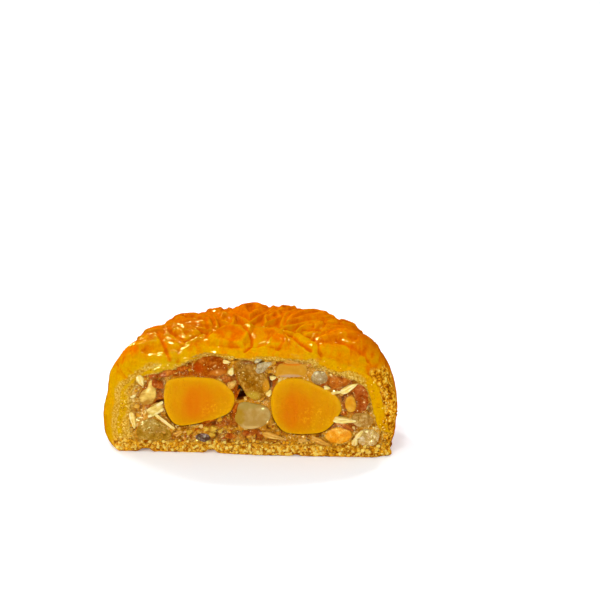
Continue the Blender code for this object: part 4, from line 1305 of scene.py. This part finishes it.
# How clear of the cut pieces bits lie and how far out of the paste; where they may lie, across and up
BITS_LIE = (0.3, -0.35)
STREWN_SPAN = ((-35, 39), (3.2, 30))
# Sugar on the paste: number, sizes, seed, how clear and how far out; then its sizes and number on pieces
PASTE_SUGAR = (70, (0.16, 0.4), 6, 0.05, 0.1)
SUGAR_SIZES = (0.12, 0.3)
FIRST_SUGAR_SEED = 20
SUGARED = {"melon_brown": 44, "melon_grey": 24, "ham_top": 12, "melon_olive": 16, "ham_far": 5,
           "melon_round": 8, "ham_right": 4}


def make_filling():
    """The paste, the pieces that the knife went through, and everything small that lies between them."""
    make_core()
    for name in PIECES:
        make_cut_piece(name)
    for name, (kind, finish, *lie, uneven, places) in LAID.items():
        join_copies(name, kind, [lying(*place, *lie) for place in places], finish, uneven)
    for name, (finish, count, sizes, seed, uneven) in STREWN.items():
        join_copies(name, "bit", scattered(count, sizes, seed, *BITS_LIE), finish, uneven)
    grains = scattered(*PASTE_SUGAR)
    for seed, (name, count) in enumerate(SUGARED.items(), FIRST_SUGAR_SEED):
        grains += strewn_on(name, count, seed)
    join_copies("sugar_grains", "grain", grains, "sugar", 0.5)


def make_crust_crumbs(cut_outline):
    """Loose grains of the cut pastry, thickest along the foot and at the torn end."""
    draw = random.Random(CRUMB_SEED)
    band = filling_outline()
    outer = grown(band, CRUMB_BAND)
    copies = []
    while len(copies) < CRUMB_COUNT:
        x, z = (draw.uniform(*span) for span in CRUMB_SPAN)
        foot = 1 - smooth(3.0, 6.0, z)
        weight = max(foot, 0.6 * smooth(37, 39, x), 0.4 * (1 - smooth(-36, -31, x)), 0.14)
        if draw.random() > weight:
            continue
        from_band = distance_from(band, x, z)
        if from_band < draw.uniform(-1.5, 0.2) or distance_from(outer, x, z) > 0:
            continue
        if distance_from(cut_outline, x, z) > -0.4:
            continue
        size = draw.uniform(0.22, 0.5 + 0.5 * foot) ** 1.2 * 0.7
        turn = any_turn(draw)
        halves = (size * draw.uniform(0.7, 1.0), size * 0.8, size * draw.uniform(0.9, 1.5))
        y = min(0.2, core_at(x, z)[0]) if from_band < 0 else 0.05 - crumb_push(x, z)
        place = Vector((x, y - foot_spill(x, z) * (from_band > 0), max(z, 1.25 * max(halves))))
        copies.append((place, halves, turn, draw.random()))
    join_copies("crust_crumbs", "grain", copies, "crumb", 0.4, "crust")


# Floor, light and camera

CAMERA_AZIMUTH = math.radians(4.0)
CAMERA_ELEVATION = math.radians(25.0)
CAMERA_DISTANCE = 631.7
CAMERA_AIM = (14.84, 0.0, 48.04)
CAMERA_LENS = 130
CAMERA_SENSOR = 36
WORLD_STRENGTH = 0.66
FLOOR_SIZE = 6
FLOOR_GLOW = 0.14
LIGHT_AIM = (0, 0, 0.02)
# Soft lights that leave no glint: place, size and power
SOFTBOXES = {"key_softbox": ((-0.30, 0.36, 0.50), 0.07, 1.3),
             "left_softbox": ((-0.42, 0.30, 0.30), 0.06, 0.65),
             "right_softbox": ((0.24, 0.30, 0.48), 0.05, 0.7),
             "top_softbox": ((-0.08, -0.33, 0.72), 0.05, 0.7),
             "front_softbox": ((-0.30, -0.75, 0.50), 0.40, 2.2)}
# Narrow lights that show only as glints on the glaze: place, length and power
GLINTS = (((-0.46, 0.40, 0.30), 0.04, 0.8), ((-0.37, 0.31, 0.51), 0.20, 1.8),
          ((-0.22, 0.24, 0.64), 0.16, 1.5), ((0.18, 0.36, 0.58), 0.08, 0.7),
          ((0.0, 0.06, 0.74), 0.08, 0.9), ((-0.24, -0.70, 0.20), 0.04, 3.0),
          ((0.10, -0.60, 0.50), 0.04, 3.0), ((0.16, -0.72, 0.05), 0.08, 4.0),
          ((-0.34, -0.66, 0.06), 0.06, 3.0))
GLINT_WIDTH = 0.04
GLINT_COLOUR = (0.9, 1.0, 0.36)


def look_from(thing, place, aim):
    """Put a light or the camera at a place and turn it to its aim."""
    thing.location = place
    thing.rotation_euler = (Vector(aim) - Vector(place)).to_track_quat("-Z", "Y").to_euler()
    bpy.context.scene.collection.objects.link(thing)


def add_light(name, place, size, power):
    """A square soft light at a place, turned to the middle of the half cake."""
    lamp = bpy.data.lights.new(name, "AREA")
    lamp.size = size
    lamp.energy = power
    light = bpy.data.objects.new(name, lamp)
    look_from(light, place, LIGHT_AIM)
    return light


def set_studio():
    """Pale floor, soft light and the camera."""
    deselect()
    bpy.ops.mesh.primitive_plane_add(size=FLOOR_SIZE)
    floor = taken_up("floor")
    finish = Finish("pale_floor", Specular_IOR_Level=0.1, Roughness=0.8, Emission_Color=(0.96, 0.98, 1, 1),
                    Emission_Strength=FLOOR_GLOW)
    finish.set(Base_Color=finish.mix(finish.noise(400), (247, 251, 255), (245, 249, 254)))
    floor.data.materials.append(finish.material)
    floor.visible_glossy = False
    world = bpy.data.worlds.new("studio")
    bpy.context.scene.world = world
    world.use_nodes = True
    world.node_tree.nodes["Background"].inputs[0].default_value = (1, 1, 1, 1)
    world.node_tree.nodes["Background"].inputs[1].default_value = WORLD_STRENGTH
    world.cycles_visibility.glossy = False
    for name, (place, size, power) in SOFTBOXES.items():
        add_light(name, place, size, power).visible_glossy = False
    for number, (place, size, power) in enumerate(GLINTS):
        glint = add_light("glint_%d" % number, place, size, power)
        glint.data.color = GLINT_COLOUR
        glint.data.shape = "RECTANGLE"
        glint.data.size_y = GLINT_WIDTH
        glint.visible_diffuse = False
    bpy.context.scene.view_settings.view_transform = "Standard"
    camera = bpy.data.objects.new("camera", bpy.data.cameras.new("camera"))
    camera.data.lens = CAMERA_LENS
    camera.data.sensor_width = CAMERA_SENSOR
    away = Vector((math.sin(CAMERA_AZIMUTH) * math.cos(CAMERA_ELEVATION),
                   -math.cos(CAMERA_AZIMUTH) * math.cos(CAMERA_ELEVATION), math.sin(CAMERA_ELEVATION)))
    look_from(camera, placed(*(CAMERA_DISTANCE * away)), placed(*CAMERA_AIM))
    bpy.context.scene.camera = camera


set_studio()
cut_outline = make_crust()
make_crust_crumbs(cut_outline)
make_filling()
